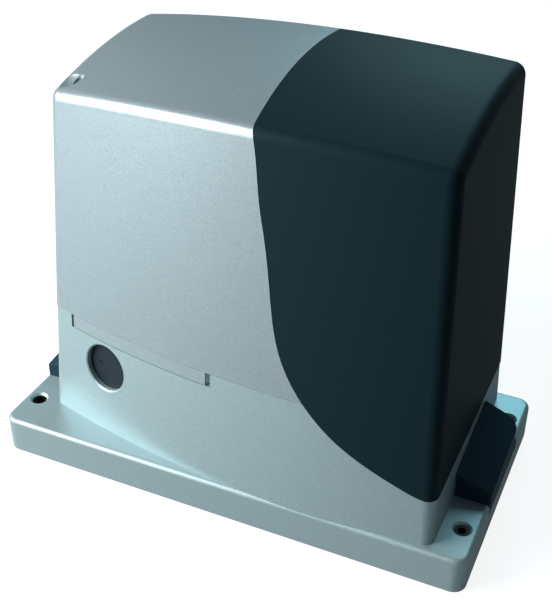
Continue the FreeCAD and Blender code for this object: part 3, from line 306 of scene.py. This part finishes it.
# ------------------------------------------------------------------ motor
# The drawn steel can is enamelled black and glossy. Its duller nylon end cap holds two brushes under
# screwed caps, and two long bolts with plated heads draw cap and can together.
def span(name):
    """The two corners of a node's box, in mm."""
    return [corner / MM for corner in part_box(name)]


OUT = {"+X": Vector((1, 0, 0)), "-X": Vector((-1, 0, 0)), "+Y": Vector((0, 1, 0)),
       "-Y": Vector((0, -1, 0)), "+Z": Vector((0, 0, 1))}


def edges_of(points):
    return list({edge for point in points for edge in point.link_edges})


def only(kind, parts):
    return [part for part in parts if isinstance(part, kind)]


def turned(shape, profile, centre, out, steps=32):
    """Spins a profile of radius and height, in mm, round the axis through centre."""
    axis, centre = OUT[out], Vector(centre) * MM
    across = axis.orthogonal().normalized()
    points = [shape.verts.new(centre + across * r * MM + axis * h * MM) for r, h in profile]
    lines = [shape.edges.new(pair) for pair in zip(points, points[1:])]
    bmesh.ops.spin(shape, geom=points + lines, cent=centre, axis=axis, angle=math.tau, steps=steps,
                   use_merge=True)
    bmesh.ops.remove_doubles(shape, verts=shape.verts, dist=1e-6)


def slotted_head(shape, centre, out, radius, height, slot):
    """A screw head with a driver's slot: two half discs, a slot's width apart, on a thin full disc."""
    axis, centre = OUT[out], Vector(centre) * MM
    facing = axis.to_track_quat("Z", "Y").to_matrix().to_4x4()
    slot_floor = height * 0.4
    turned(shape, [(0, 0), (radius, 0), (radius, slot_floor), (0, slot_floor)], centre / MM, out, 24)
    for side in (-1, 1):
        across = facing.to_3x3() @ Vector((side, 0, 0))
        disc = bmesh.ops.create_circle(shape, cap_ends=True, segments=24, radius=radius * MM,
                                       matrix=Matrix.Translation(centre + axis * slot_floor * MM) @ facing)
        faces = list({face for point in disc["verts"] for face in point.link_faces})
        kept = bmesh.ops.bisect_plane(shape, geom=disc["verts"] + edges_of(disc["verts"]) + faces,
                                      plane_no=across, plane_co=centre + across * slot / 2 * MM,
                                      clear_inner=True)
        raised = bmesh.ops.extrude_face_region(shape, geom=only(bmesh.types.BMFace, kept["geom"]),
                                               use_keep_orig=True)
        bmesh.ops.translate(shape, verts=only(bmesh.types.BMVert, raised["geom"]),
                            vec=axis * (height - slot_floor) * MM)


def brick(shape, low, high, rounding, segments=2):
    """A moulded block between two corners in mm, its edges rounded."""
    low, high = Vector(low) * MM, Vector(high) * MM
    made = bmesh.ops.create_cube(shape, size=1.0, matrix=Matrix.Translation((low + high) / 2)
                                 @ Matrix.Diagonal((high - low).to_4d()))
    bmesh.ops.bevel(shape, geom=edges_of(made["verts"]), offset=rounding * MM, offset_type="OFFSET",
                    affect="EDGES", segments=segments, profile=0.5, material=-1)


SHARP_FROM = math.radians(35)


def piece(name, shape, finish, body, replaced=()):
    """The finished mesh as an object in its place, on the body that carries it."""
    bmesh.ops.recalc_face_normals(shape, faces=shape.faces)
    data = bpy.data.meshes.new(name)
    shape.to_mesh(data)
    shape.free()
    data.shade_smooth()
    data.set_sharp_from_angle(angle=SHARP_FROM)
    data.materials.append(finish)
    made = bpy.data.objects.new(name, data)
    bpy.context.scene.collection.objects.link(made)
    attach(made, body)
    if replaced:
        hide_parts(*replaced)


dress(["motor_can"], moulded("black_can_enamel", "#131517", "#1A1D20", grain_mm=1.5, depth_mm=0.02,
                             roughness=0.3))
black_nylon = moulded("black_nylon", "#15171A", "#1D2023", grain_mm=0.5, depth_mm=0.03, roughness=0.5)
dress(["motor_cap"], black_nylon)
cap_low, cap_high = span("motor_cap")
can_low, can_high = span("motor_can")
MOTOR_X = (cap_low.x + cap_high.x) / 2
MOTOR_Y = (can_low.y + can_high.y) / 2
CAP_H = 18
CAP_TOP = can_high.z + CAP_H
BRUSH_BELOW_TOP = 10
BOLT_OUT = 22
RIBS = 24
brush_caps = bmesh.new()
for side, out in ((cap_low.x, "-X"), (cap_high.x, "+X")):
    slotted_head(brush_caps, (side, MOTOR_Y, CAP_TOP - BRUSH_BELOW_TOP), out,
                 radius=4.2, height=1.6, slot=0.9)
piece("brush_caps", brush_caps, black_nylon, "base")
bolts = bmesh.new()
for side in (-1, 1):
    slotted_head(bolts, (MOTOR_X, MOTOR_Y + side * BOLT_OUT, CAP_TOP), "+Z", radius=3.2, height=2.2, slot=0.8)
piece("motor_bolts", bolts, zinc, "base")
cooling = bmesh.new()
turned(cooling, [(12.0, 0), (12.6, 1.2), (25.4, 1.2), (26.0, 0)], (MOTOR_X, MOTOR_Y, CAP_TOP), "+Z", 64)
for k in range(RIBS):
    rib = bmesh.new()
    brick(rib, (13.5, -0.7, 1.2), (24.5, 0.7, 2.4), rounding=0.3, segments=1)
    bmesh.ops.rotate(rib, verts=rib.verts, cent=(0, 0, 0),
                     matrix=Matrix.Rotation(math.tau * k / RIBS, 3, "Z"))
    bmesh.ops.translate(rib, verts=rib.verts, vec=Vector((MOTOR_X, MOTOR_Y, CAP_TOP)) * MM)
    ribbed = bpy.data.meshes.new("rib")
    rib.to_mesh(ribbed)
    rib.free()
    cooling.from_mesh(ribbed)
    bpy.data.meshes.remove(ribbed)
piece("motor_cap_ribs", cooling, black_nylon, "base")

# ------------------------------------------------------------------ worm and worm wheel
# The hardened worm is ground and polished, so it gleams; it drives a warm-coloured wheel of cast
# bronze in an oil-filled chamber.
dress(["worm_shaft", "worm_bearing"], worked_metal("ground_steel", "#8A8C8F", "#ABADB0", mark_mm=0.5,
                                                   stretch=(1.0, 1.0, 4.0), roughness=0.25))
dress(["worm_wheel"], worked_metal("cast_bronze", "#A07A35", "#BE9650", mark_mm=1.0, stretch=EVEN,
                                   roughness=0.34))

# ------------------------------------------------------------------ output shaft and clutch
# Turned from bar, with fine rings round it: the shaft, its spacer and the sliding clutch ring. A
# greyer sintered fork on a ground rod moves the ring out of the wheel's slots.
turned_steel = worked_metal("turned_steel", "#8C8E90", "#A9ABAD", mark_mm=0.5, stretch=(1.0, 4.0, 1.0),
                            roughness=0.28)
dress(["output_shaft", "clutch_ring", "wheel_spacer", "fork_rod", "bearing_front", "bearing_back"],
      turned_steel)
dress(["shift_fork"], worked_metal("sintered_steel", "#7B7D7E", "#909293", mark_mm=0.7, stretch=EVEN,
                                   roughness=0.45))

# ------------------------------------------------------------------ shaft seal
# A lipped seal of dull black rubber keeps the oil in behind the pinion. It is moulded round a steel
# ring, and a coil spring presses its lip on the shaft.
rubber = moulded("black_rubber", "#131414", "#1C1D1D", grain_mm=0.9, depth_mm=0.03, roughness=0.62)
seal_low, seal_high = span("oil_seal")
SHAFT_Z = (seal_low.z + seal_high.z) / 2
SEAL_R = (seal_high.z - seal_low.z) / 2
SHAFT_R = 12.6
seal = bmesh.new()
turned(seal, [(SHAFT_R, 1.6), (SHAFT_R, 4.4), (14.6, 6.4), (16.0, 5.4), (17.6, 5.8), (18.6, 7.0),
              (SEAL_R - 0.6, 7.0), (SEAL_R, 6.4), (SEAL_R, 0.0), (16.4, 0.0), (SHAFT_R, 1.6)],
       (0, seal_low.y, SHAFT_Z), "+Y", 72)
piece("shaft_seal", seal, rubber, "base", ["oil_seal"])

# ------------------------------------------------------------------ pinion
# The gear that meets the rack on the gate is milled from steel, with the cutter's marks across
# its flanks. A brighter clip of spring steel holds it on the shaft.
dress(["pinion"], worked_metal("milled_gear_steel", "#74777A", "#96999C", mark_mm=0.7,
                               stretch=(1.0, 0.1, 1.0), roughness=0.34))
spring_steel = worked_metal("spring_steel", "#6F7375", "#93979A", mark_mm=0.5, stretch=EVEN, roughness=0.26)
dress(["pinion_circlip"], spring_steel)

# ------------------------------------------------------------------ limit switch
# The gate's stop plates push a steel whip that stands on a coil spring. The spring's foot turns in
# the nylon switch housing.
dress(["limit_body"], black_nylon)
whip_low, whip_high = span("limit_lever")
PIVOT_X = (whip_low.x + whip_high.x) / 2
PIVOT_Z = 126.0
WIRE_R, COIL_R, COILS, COIL_PITCH = 1.1, 3.6, 6, 2.0
COIL_Y = 80.5
COIL_STEPS = COILS * 20
coil = bmesh.new()
wire = bmesh.ops.create_circle(coil, segments=10, radius=WIRE_R * MM,
                               matrix=Matrix.Translation(Vector((PIVOT_X + COIL_R, COIL_Y, PIVOT_Z)) * MM))
bmesh.ops.spin(coil, geom=wire["verts"] + edges_of(wire["verts"]),
               cent=Vector((PIVOT_X, COIL_Y, PIVOT_Z)) * MM, axis=(0, 1, 0),
               dvec=Vector((0, COIL_PITCH * COILS / COIL_STEPS * MM, 0)), angle=math.tau * COILS,
               steps=COIL_STEPS)
bmesh.ops.holes_fill(coil, edges=[edge for edge in coil.edges if edge.is_boundary], sides=0)
piece("limit_spring", coil, spring_steel, "limit")

# The whip: a stepped hub, a rod that comes out of it and bends upwards, and a ball on its tip.
HUB_Y = 70
ROD_R, ROD_BEND, ROD_FOOT, TIP_R = 1.5, 5.0, 6, 3.0
WHIP_Y, TIP_Z = whip_high.y - TIP_R, whip_high.z - TIP_R
whip = bmesh.new()
turned(whip, [(0, 0), (3.0, 0), (3.0, 11.0), (2.3, 11.6), (2.3, 21.0), (0, 21.0)],
       (PIVOT_X, HUB_Y, PIVOT_Z), "+Y", 24)
rod = bmesh.ops.create_circle(
    whip, segments=14, radius=ROD_R * MM,
    matrix=Matrix.Translation(Vector((PIVOT_X, WHIP_Y - ROD_BEND - ROD_FOOT, PIVOT_Z)) * MM)
    @ Matrix.Rotation(math.radians(90), 4, "X"))
grown = bmesh.ops.extrude_edge_only(whip, edges=edges_of(rod["verts"]))["geom"]
bmesh.ops.translate(whip, verts=only(bmesh.types.BMVert, grown), vec=Vector((0, ROD_FOOT, 0)) * MM)
bent = bmesh.ops.spin(whip, geom=grown, cent=Vector((PIVOT_X, WHIP_Y - ROD_BEND, PIVOT_Z + ROD_BEND)) * MM,
                      axis=(1, 0, 0), angle=math.radians(90), steps=8)["geom_last"]
grown = bmesh.ops.extrude_edge_only(whip, edges=only(bmesh.types.BMEdge, bent))["geom"]
bmesh.ops.translate(whip, verts=only(bmesh.types.BMVert, grown),
                    vec=Vector((0, 0, TIP_Z - PIVOT_Z - ROD_BEND)) * MM)
bmesh.ops.holes_fill(whip, edges=[edge for edge in whip.edges if edge.is_boundary], sides=0)
bmesh.ops.create_uvsphere(whip, u_segments=24, v_segments=16, radius=TIP_R * MM,
                          matrix=Matrix.Translation(Vector((PIVOT_X, WHIP_Y, TIP_Z)) * MM))
piece("limit_whip", whip, spring_steel, "limit", ["limit_lever"])

# ------------------------------------------------------------------ mains transformer
# Copper wire wound on a steel ring and bound all round in overlapping turns of yellow polyester
# tape. A dished washer and one bolt clamp it to the foot.
ring_low, ring_high = span("transformer")
RING = (ring_low + ring_high) / 2
RING_R = (ring_high.x - ring_low.x) / 2
HALF_H = (ring_high.z - ring_low.z) / 2
BORE_R = 9.0
TAPE_TURNS = 52
TAPE_STEP = 0.35
SQUARENESS = 0.55  # 1 would make the winding's section an ellipse, 0 a rectangle
SECTION_STEPS = 40
half_w, middle_r = (RING_R - BORE_R) / 2 - TAPE_STEP, (RING_R + BORE_R) / 2
winding = []
for k in range(SECTION_STEPS + 1):
    c, s = math.cos(math.tau * k / SECTION_STEPS), math.sin(math.tau * k / SECTION_STEPS)
    winding.append((middle_r + half_w * math.copysign(abs(c) ** SQUARENESS, c),
                    (HALF_H - TAPE_STEP) * math.copysign(abs(s) ** SQUARENESS, s)))
taped = bmesh.new()
turned(taped, winding, RING, "+Z", TAPE_TURNS * 3)
taped.normal_update()
for point in taped.verts:
    arm = point.co - RING * MM
    lap = (math.atan2(arm.y, arm.x) / math.tau * TAPE_TURNS) % 1.0
    core = Vector((arm.x, arm.y, 0)).normalized() * middle_r * MM
    point.co += (arm - core).normalized() * TAPE_STEP * lap * MM

# Glossy tape, with painted shade in a dark band along each turn's edge, at the foot of the step where the
# next turn laps it.
tape, tree, place = start("yellow_polyester_tape")
grain = add(tree, "ShaderNodeTexNoise", {"Scale": 1.0 / (2.5 * MM), "Detail": 3.0}, {"Vector": place})
centred = add(tree, "ShaderNodeMapping", {"Location": (-RING.x * MM, -RING.y * MM, 0)}, {"Vector": place})
around = add(tree, "ShaderNodeTexGradient", {"gradient_type": "RADIAL"}, {"Vector": centred.outputs[0]})
turns = add(tree, "ShaderNodeMath", {"operation": "MULTIPLY", 1: TAPE_TURNS}, {0: around.outputs["Fac"]})
lapped = add(tree, "ShaderNodeMath", {"operation": "FRACT"}, {0: turns.outputs[0]})
# Painted shade: the colour runs from dark at the foot of each turn's step to the tape's own yellow.
lap_shade_mask = add(tree, "ShaderNodeMapRange", {"From Min": 0.0, "From Max": 0.12, "To Min": 0.0, "To Max": 1.0},
               {"Value": lapped.outputs[0]})
shade = add(tree, "ShaderNodeMix", {"data_type": "RGBA", 6: linear("#7E5A1C"), 7: linear("#C29A34")},
            {0: lap_shade_mask.outputs[0]})
varied = add(tree, "ShaderNodeMix", {"data_type": "RGBA", 7: linear("#D6B150")},
             {0: grain.outputs["Fac"], 6: shade.outputs[2]})
bump = add(tree, "ShaderNodeBump", {"Strength": 0.4, "Distance": 0.1 * MM}, {"Height": grain.outputs["Fac"]})
surface = add(tree, "ShaderNodeBsdfPrincipled", {"Roughness": 0.28, "IOR": 1.57},
              {"Base Color": varied.outputs[2], "Normal": bump.outputs[0]})
add(tree, "ShaderNodeOutputMaterial", {}, {"Surface": surface.outputs[0]})
piece("taped_transformer", taped, tape, "base", ["transformer"])
dress(["transformer_clamp"], zinc)

# ------------------------------------------------------------------ mains terminal and cable entry
# The mains wires come up through a rubber grommet and end in a three-way block of pale nylon, whose
# yellow brass screws sit deep in their holes.
dress(["mains_terminal"], moulded("pale_terminal_moulding", "#B9BBB6", "#C6C8C3", grain_mm=0.5,
                                  depth_mm=0.02, roughness=0.45))
brass = worked_metal("brass", "#A8843C", "#C7A25A", mark_mm=0.6, stretch=EVEN, roughness=0.3)
mains_low, mains_high = span("mains_terminal")
MAINS_WAYS, MAINS_PITCH = 3, 9
mains_screws = bmesh.new()
for way in range(MAINS_WAYS):
    slotted_head(mains_screws, (mains_low.x + 6 + MAINS_PITCH * way, mains_low.y + 10, mains_high.z - 8),
                 "+Z", radius=2.8, height=4.0, slot=0.8)
piece("mains_screws", mains_screws, brass, "base")
gland_low, gland_high = span("cable_gland")
GLAND_X, GLAND_Y = (gland_low.x + gland_high.x) / 2, (gland_low.y + gland_high.y) / 2
NECK_R, LIP_R, CABLE_R = 12.0, (gland_high.x - gland_low.x) / 2, 6.0
grommet = bmesh.new()
turned(grommet, [(CABLE_R, 0.6), (CABLE_R + 0.6, 0), (NECK_R - 0.8, 0), (NECK_R, 0.8), (NECK_R, 8.0),
                 (LIP_R, 8.0), (LIP_R, 9.6), (LIP_R - 1.2, 11.0), (NECK_R, 11.0), (NECK_R - 1.5, 9.4),
                 (CABLE_R + 2.2, 9.0), (CABLE_R + 1.4, 11.0), (CABLE_R + 0.4, 11.0), (CABLE_R, 10.4),
                 (CABLE_R, 0.6)],
       (GLAND_X, GLAND_Y, gland_low.z), "+Z", 56)
piece("cable_grommet", grommet, rubber, "base", ["cable_gland"])

# ------------------------------------------------------------------ control board and its carrier
# A glass-fibre board stands on a grey carrier, held by four screws. Copper tracks show as paler
# lines through its green lacquer.
dress(["board_carrier"], moulded("grey_carrier_moulding", "#4A4E52", "#555A5E", grain_mm=0.6,
                                 depth_mm=0.03, roughness=0.55))
board_low = span("control_board")[0]
PITCH = 2.54  # mm, at which tracks and terminals repeat on a board
TRACK_W = 0.3


def on_board(x, z, out=0.0):
    """A place in mm from the board's lower left corner, standing out from its face."""
    return (board_low.x + x, board_low.y - out, board_low.z + z)


lacquer, tree, place = start("green_solder_mask")
upright = add(tree, "ShaderNodeMapping", {"Rotation": (math.radians(-90), 0, 0)}, {"Vector": place})
squares = add(tree, "ShaderNodeTexBrick", {"Scale": 1.0, "Mortar Size": TRACK_W * MM, "offset": 0.37,
                                           "Brick Width": 5 * PITCH * MM, "Row Height": PITCH * MM,
                                           "squash": 1.0, "Color1": linear("#14502E"),
                                           "Color2": linear("#17592F"), "Mortar": linear("#2B7A49")},
              {"Vector": upright.outputs[0]})
bump = add(tree, "ShaderNodeBump", {"Strength": 0.5, "Distance": 0.04 * MM},
           {"Height": squares.outputs["Fac"]})
surface = add(tree, "ShaderNodeBsdfPrincipled", {"Roughness": 0.3},
              {"Base Color": squares.outputs["Color"], "Normal": bump.outputs[0]})
add(tree, "ShaderNodeOutputMaterial", {}, {"Surface": surface.outputs[0]})
dress(["control_board"], lacquer)
dress(["receiver_card"], moulded("blue_solder_mask", "#16356F", "#1B3F80", grain_mm=1.6, depth_mm=0.01,
                                 roughness=0.3))
board_screws = bmesh.new()
for x in (5, 115):
    for z in (5, 107):
        slotted_head(board_screws, on_board(x, z), "-Y", radius=2.6, height=1.8, slot=0.7)
piece("board_screws", board_screws, zinc, "base")

# ------------------------------------------------------------------ chips and small parts
# Chips of dull black epoxy stand on two rows of bright tinned legs. Ceramic resistors with tinned
# ends lie in rows beside them, where the program and the motor drive are.
CHIPS = ((60, 62, 18, 7.6), (66, 84, 10, 4.0), (14, 62, 10, 4.0), (34, 62, 10, 4.0), (20, 84, 12, 6.0))
RESISTOR_ROWS = ((8, 52, 6), (8, 56, 6), (44, 82, 6), (44, 88, 6), (88, 84, 6), (88, 90, 6), (60, 76, 4),
                 (92, 60, 4))
LEG_PITCH, LEG_W, LEG_OUT = 1.27, 0.45, 1.4
RESISTOR_PITCH = 3.2
chips, legs, resistors = bmesh.new(), bmesh.new(), bmesh.new()
for x, z, length, width in CHIPS:
    brick(chips, on_board(x, z, 2.4), on_board(x + length, z + width, 0.3), rounding=0.25)
    for k in range(int(length / LEG_PITCH) - 1):
        leg = x + 1.0 + LEG_PITCH * k
        brick(legs, on_board(leg, z - LEG_OUT, 1.3), on_board(leg + LEG_W, z + width + LEG_OUT),
              rounding=0.1, segments=1)
for x, z, count in RESISTOR_ROWS:
    for k in range(count):
        left = x + RESISTOR_PITCH * k
        brick(resistors, on_board(left + 0.35, z, 0.7), on_board(left + 1.65, z + 1.25),
              rounding=0.08, segments=1)
        brick(legs, on_board(left, z + 0.04, 0.66), on_board(left + 2.0, z + 1.21),
              rounding=0.08, segments=1)
epoxy = moulded("black_epoxy", "#101112", "#17181A", grain_mm=0.3, depth_mm=0.01, roughness=0.4)
tinned = worked_metal("tinned_copper", "#B4B7B8", "#CBCECF", mark_mm=0.4, stretch=EVEN, roughness=0.3)
piece("board_chips", chips, epoxy, "base")
piece("board_legs", legs, tinned, "base")
piece("board_resistors", resistors, epoxy, "base")

# ------------------------------------------------------------------ push buttons and lamps
# Three push buttons set the opener up, and a row of lamps above the terminals shows what each input
# does. Their red resin is a little clear, so they glow at the rim.
BUTTONS, BUTTON_PITCH, BUTTON_W = 3, 9, 6
LAMPS, LAMP_PITCH = 8, 6.4
buttons, lamps = bmesh.new(), bmesh.new()
for k in range(BUTTONS):
    left = 92 + BUTTON_PITCH * k
    brick(buttons, on_board(left, 98, 3.6), on_board(left + BUTTON_W, 98 + BUTTON_W), rounding=0.3)
    turned(buttons, [(0, 6.0), (1.5, 6.0), (1.75, 5.7), (1.75, 3.4), (0, 3.4)],
           on_board(left + BUTTON_W / 2, 98 + BUTTON_W / 2), "-Y", 20)
for k in range(LAMPS):
    turned(lamps, [(0, 3.6), (0.8, 3.3), (1.4, 2.5), (1.5, 1.6), (1.5, 0.4), (1.8, 0.4), (1.8, 0), (0, 0)],
           on_board(14 + LAMP_PITCH * k, 21), "-Y", 20)
lens, tree, place = start("red_lamp_lens")
cloud = add(tree, "ShaderNodeTexNoise", {"Scale": 1.0 / (0.8 * MM), "Detail": 2.0}, {"Vector": place})
red = add(tree, "ShaderNodeMix", {"data_type": "RGBA", 6: linear("#8E1612"), 7: linear("#C22A20")},
          {0: cloud.outputs["Fac"]})
surface = add(tree, "ShaderNodeBsdfPrincipled", {"Roughness": 0.18, "IOR": 1.5, "Transmission Weight": 0.3},
              {"Base Color": red.outputs[2]})
add(tree, "ShaderNodeOutputMaterial", {}, {"Surface": surface.outputs[0]})
piece("board_buttons", buttons, epoxy, "base")
piece("board_lamps", lamps, lens, "base")

# ------------------------------------------------------------------ wire terminals
# The gate's low-voltage wires end in a block of bright green nylon. Each way has a square wire hole
# in front and a slotted screw on top.
dress(["terminal_strip"], moulded("green_terminal_moulding", "#1E7A43", "#258A4E", grain_mm=0.5,
                                  depth_mm=0.02, roughness=0.4))
strip_low, strip_high = span("terminal_strip")
WAYS, WAY_PITCH, FIRST_WAY = 12, 6.4, 4.0
strip_screws = bmesh.new()
for way in range(WAYS):
    slotted_head(strip_screws, (strip_low.x + FIRST_WAY + WAY_PITCH * way,
                                (strip_low.y + strip_high.y) / 2, strip_high.z), "+Z",
                 radius=1.9, height=0.8, slot=0.5)
piece("terminal_screws", strip_screws, zinc, "base")

# ------------------------------------------------------------------ relays
# Two relays switch the motor's direction. Each has a thin-walled glossy black cover, snapped on a
# base that shows as a step near the board, with a breathing nib.
gloss_black = moulded("relay_cover_moulding", "#141517", "#1B1C1F", grain_mm=0.4, depth_mm=0.01,
                      roughness=0.3)
STEP_BACK, STEP_IN, NIB_IN = 3.2, 0.4, 3.5
for name in ("relay_left", "relay_right"):
    low, high = span(name)
    relay = bmesh.new()
    brick(relay, low, (high.x, high.y - STEP_BACK, high.z), rounding=0.9, segments=3)
    brick(relay, (low.x + STEP_IN, high.y - STEP_BACK - 0.2, low.z + STEP_IN),
          (high.x - STEP_IN, high.y, high.z - STEP_IN), rounding=0.3)
    turned(relay, [(0, 0.5), (0.9, 0.5), (1.2, 0), (0, 0)],
           (low.x + NIB_IN, low.y, high.z - NIB_IN), "-Y", 20)
    piece(name + "_cover", relay, gloss_black, "base", [name])

# ------------------------------------------------------------------ smoothing capacitor
# A wet electrolytic can in a shrunk sleeve of shiny blue film. The sleeve turns in over the rim, and
# the bare aluminium end is scored in three so that it can vent.
tin_low, tin_high = span("capacitor")
TIN_X, TIN_Z = (tin_low.x + tin_high.x) / 2, (tin_low.z + tin_high.z) / 2
TIN_R, TIN_L = (tin_high.x - tin_low.x) / 2, tin_high.y - tin_low.y
sleeve = bmesh.new()
turned(sleeve, [(0, 0), (TIN_R - 0.5, 0), (TIN_R, 0.6), (TIN_R, 2.2), (TIN_R - 0.7, 2.9), (TIN_R, 3.6),
                (TIN_R, TIN_L - 0.9), (TIN_R - 0.8, TIN_L), (TIN_R - 2.0, TIN_L), (TIN_R - 2.0, TIN_L - 0.3),
                (0, TIN_L - 0.3)],
       (TIN_X, tin_high.y, TIN_Z), "-Y", 48)
piece("capacitor_sleeve", sleeve,
      moulded("blue_shrink_sleeve", "#16244A", "#1B2B55", grain_mm=0.8, depth_mm=0.01, roughness=0.25),
      "base", ["capacitor"])
VENT_R = TIN_R - 2.1
SCORE = 0.05  # radians from a score's middle to the wedge beside it
VENT_SECTION = [(0.5, 0.35), (VENT_R, 0.35), (VENT_R, 0.13), (0.5, 0.13)]
tin_end = Vector((TIN_X, tin_low.y, TIN_Z)) * MM
vent = bmesh.new()
for k in range(3):
    wedge = vent.faces.new([vent.verts.new(tin_end + Vector((out, deep, 0)) * MM)
                            for out, deep in VENT_SECTION])
    bmesh.ops.rotate(vent, verts=wedge.verts, cent=tin_end,
                     matrix=Matrix.Rotation(math.tau * k / 3 + SCORE, 3, "Y"))
    bmesh.ops.spin(vent, geom=[wedge, *wedge.edges, *wedge.verts], cent=tin_end, axis=(0, 1, 0),
                   dvec=(0, 0, 0), angle=math.tau / 3 - 2 * SCORE, steps=12, use_merge=False,
                   use_duplicate=False)
piece("capacitor_end", vent, worked_metal("bare_aluminium", "#B0B3B5", "#C6C9CB", mark_mm=0.4,
                                          stretch=EVEN, roughness=0.3),
      "base")

# ------------------------------------------------------------------ fuse
# A fuse of clear glass, with a slight ripple that bends what shows through it, lies in its open
# black holder. Its two ends are tinned.
dress(["fuse_holder"], gloss_black)
FUSE_LEFT = span("fuse_holder")[0].x
_, FUSE_Y, FUSE_Z = on_board(0, 8.0, 6.0)
glass, tree, place = start("clear_glass")
ripple = add(tree, "ShaderNodeTexNoise", {"Scale": 1.0 / (3.0 * MM), "Detail": 1.0}, {"Vector": place})
bump = add(tree, "ShaderNodeBump", {"Strength": 0.2, "Distance": 0.03 * MM},
           {"Height": ripple.outputs["Fac"]})
surface = add(tree, "ShaderNodeBsdfPrincipled",
              {"Base Color": linear("#EEF4F3"), "Roughness": 0.05, "IOR": 1.5, "Transmission Weight": 0.9},
              {"Normal": bump.outputs[0]})
add(tree, "ShaderNodeOutputMaterial", {}, {"Surface": surface.outputs[0]})
tube, ends = bmesh.new(), bmesh.new()
turned(tube, [(0, 5.0), (2.3, 5.0), (2.3, 17.0), (0, 17.0)], (FUSE_LEFT, FUSE_Y, FUSE_Z), "+X", 32)
for x in (1.0, 15.4):
    turned(ends, [(0, 0), (2.2, 0), (2.5, 0.3), (2.5, 5.3), (2.2, 5.6), (0, 5.6)],
           (FUSE_LEFT + x, FUSE_Y, FUSE_Z), "+X", 32)
piece("fuse_tube", tube, glass, "base")
piece("fuse_ends", ends, tinned, "base")
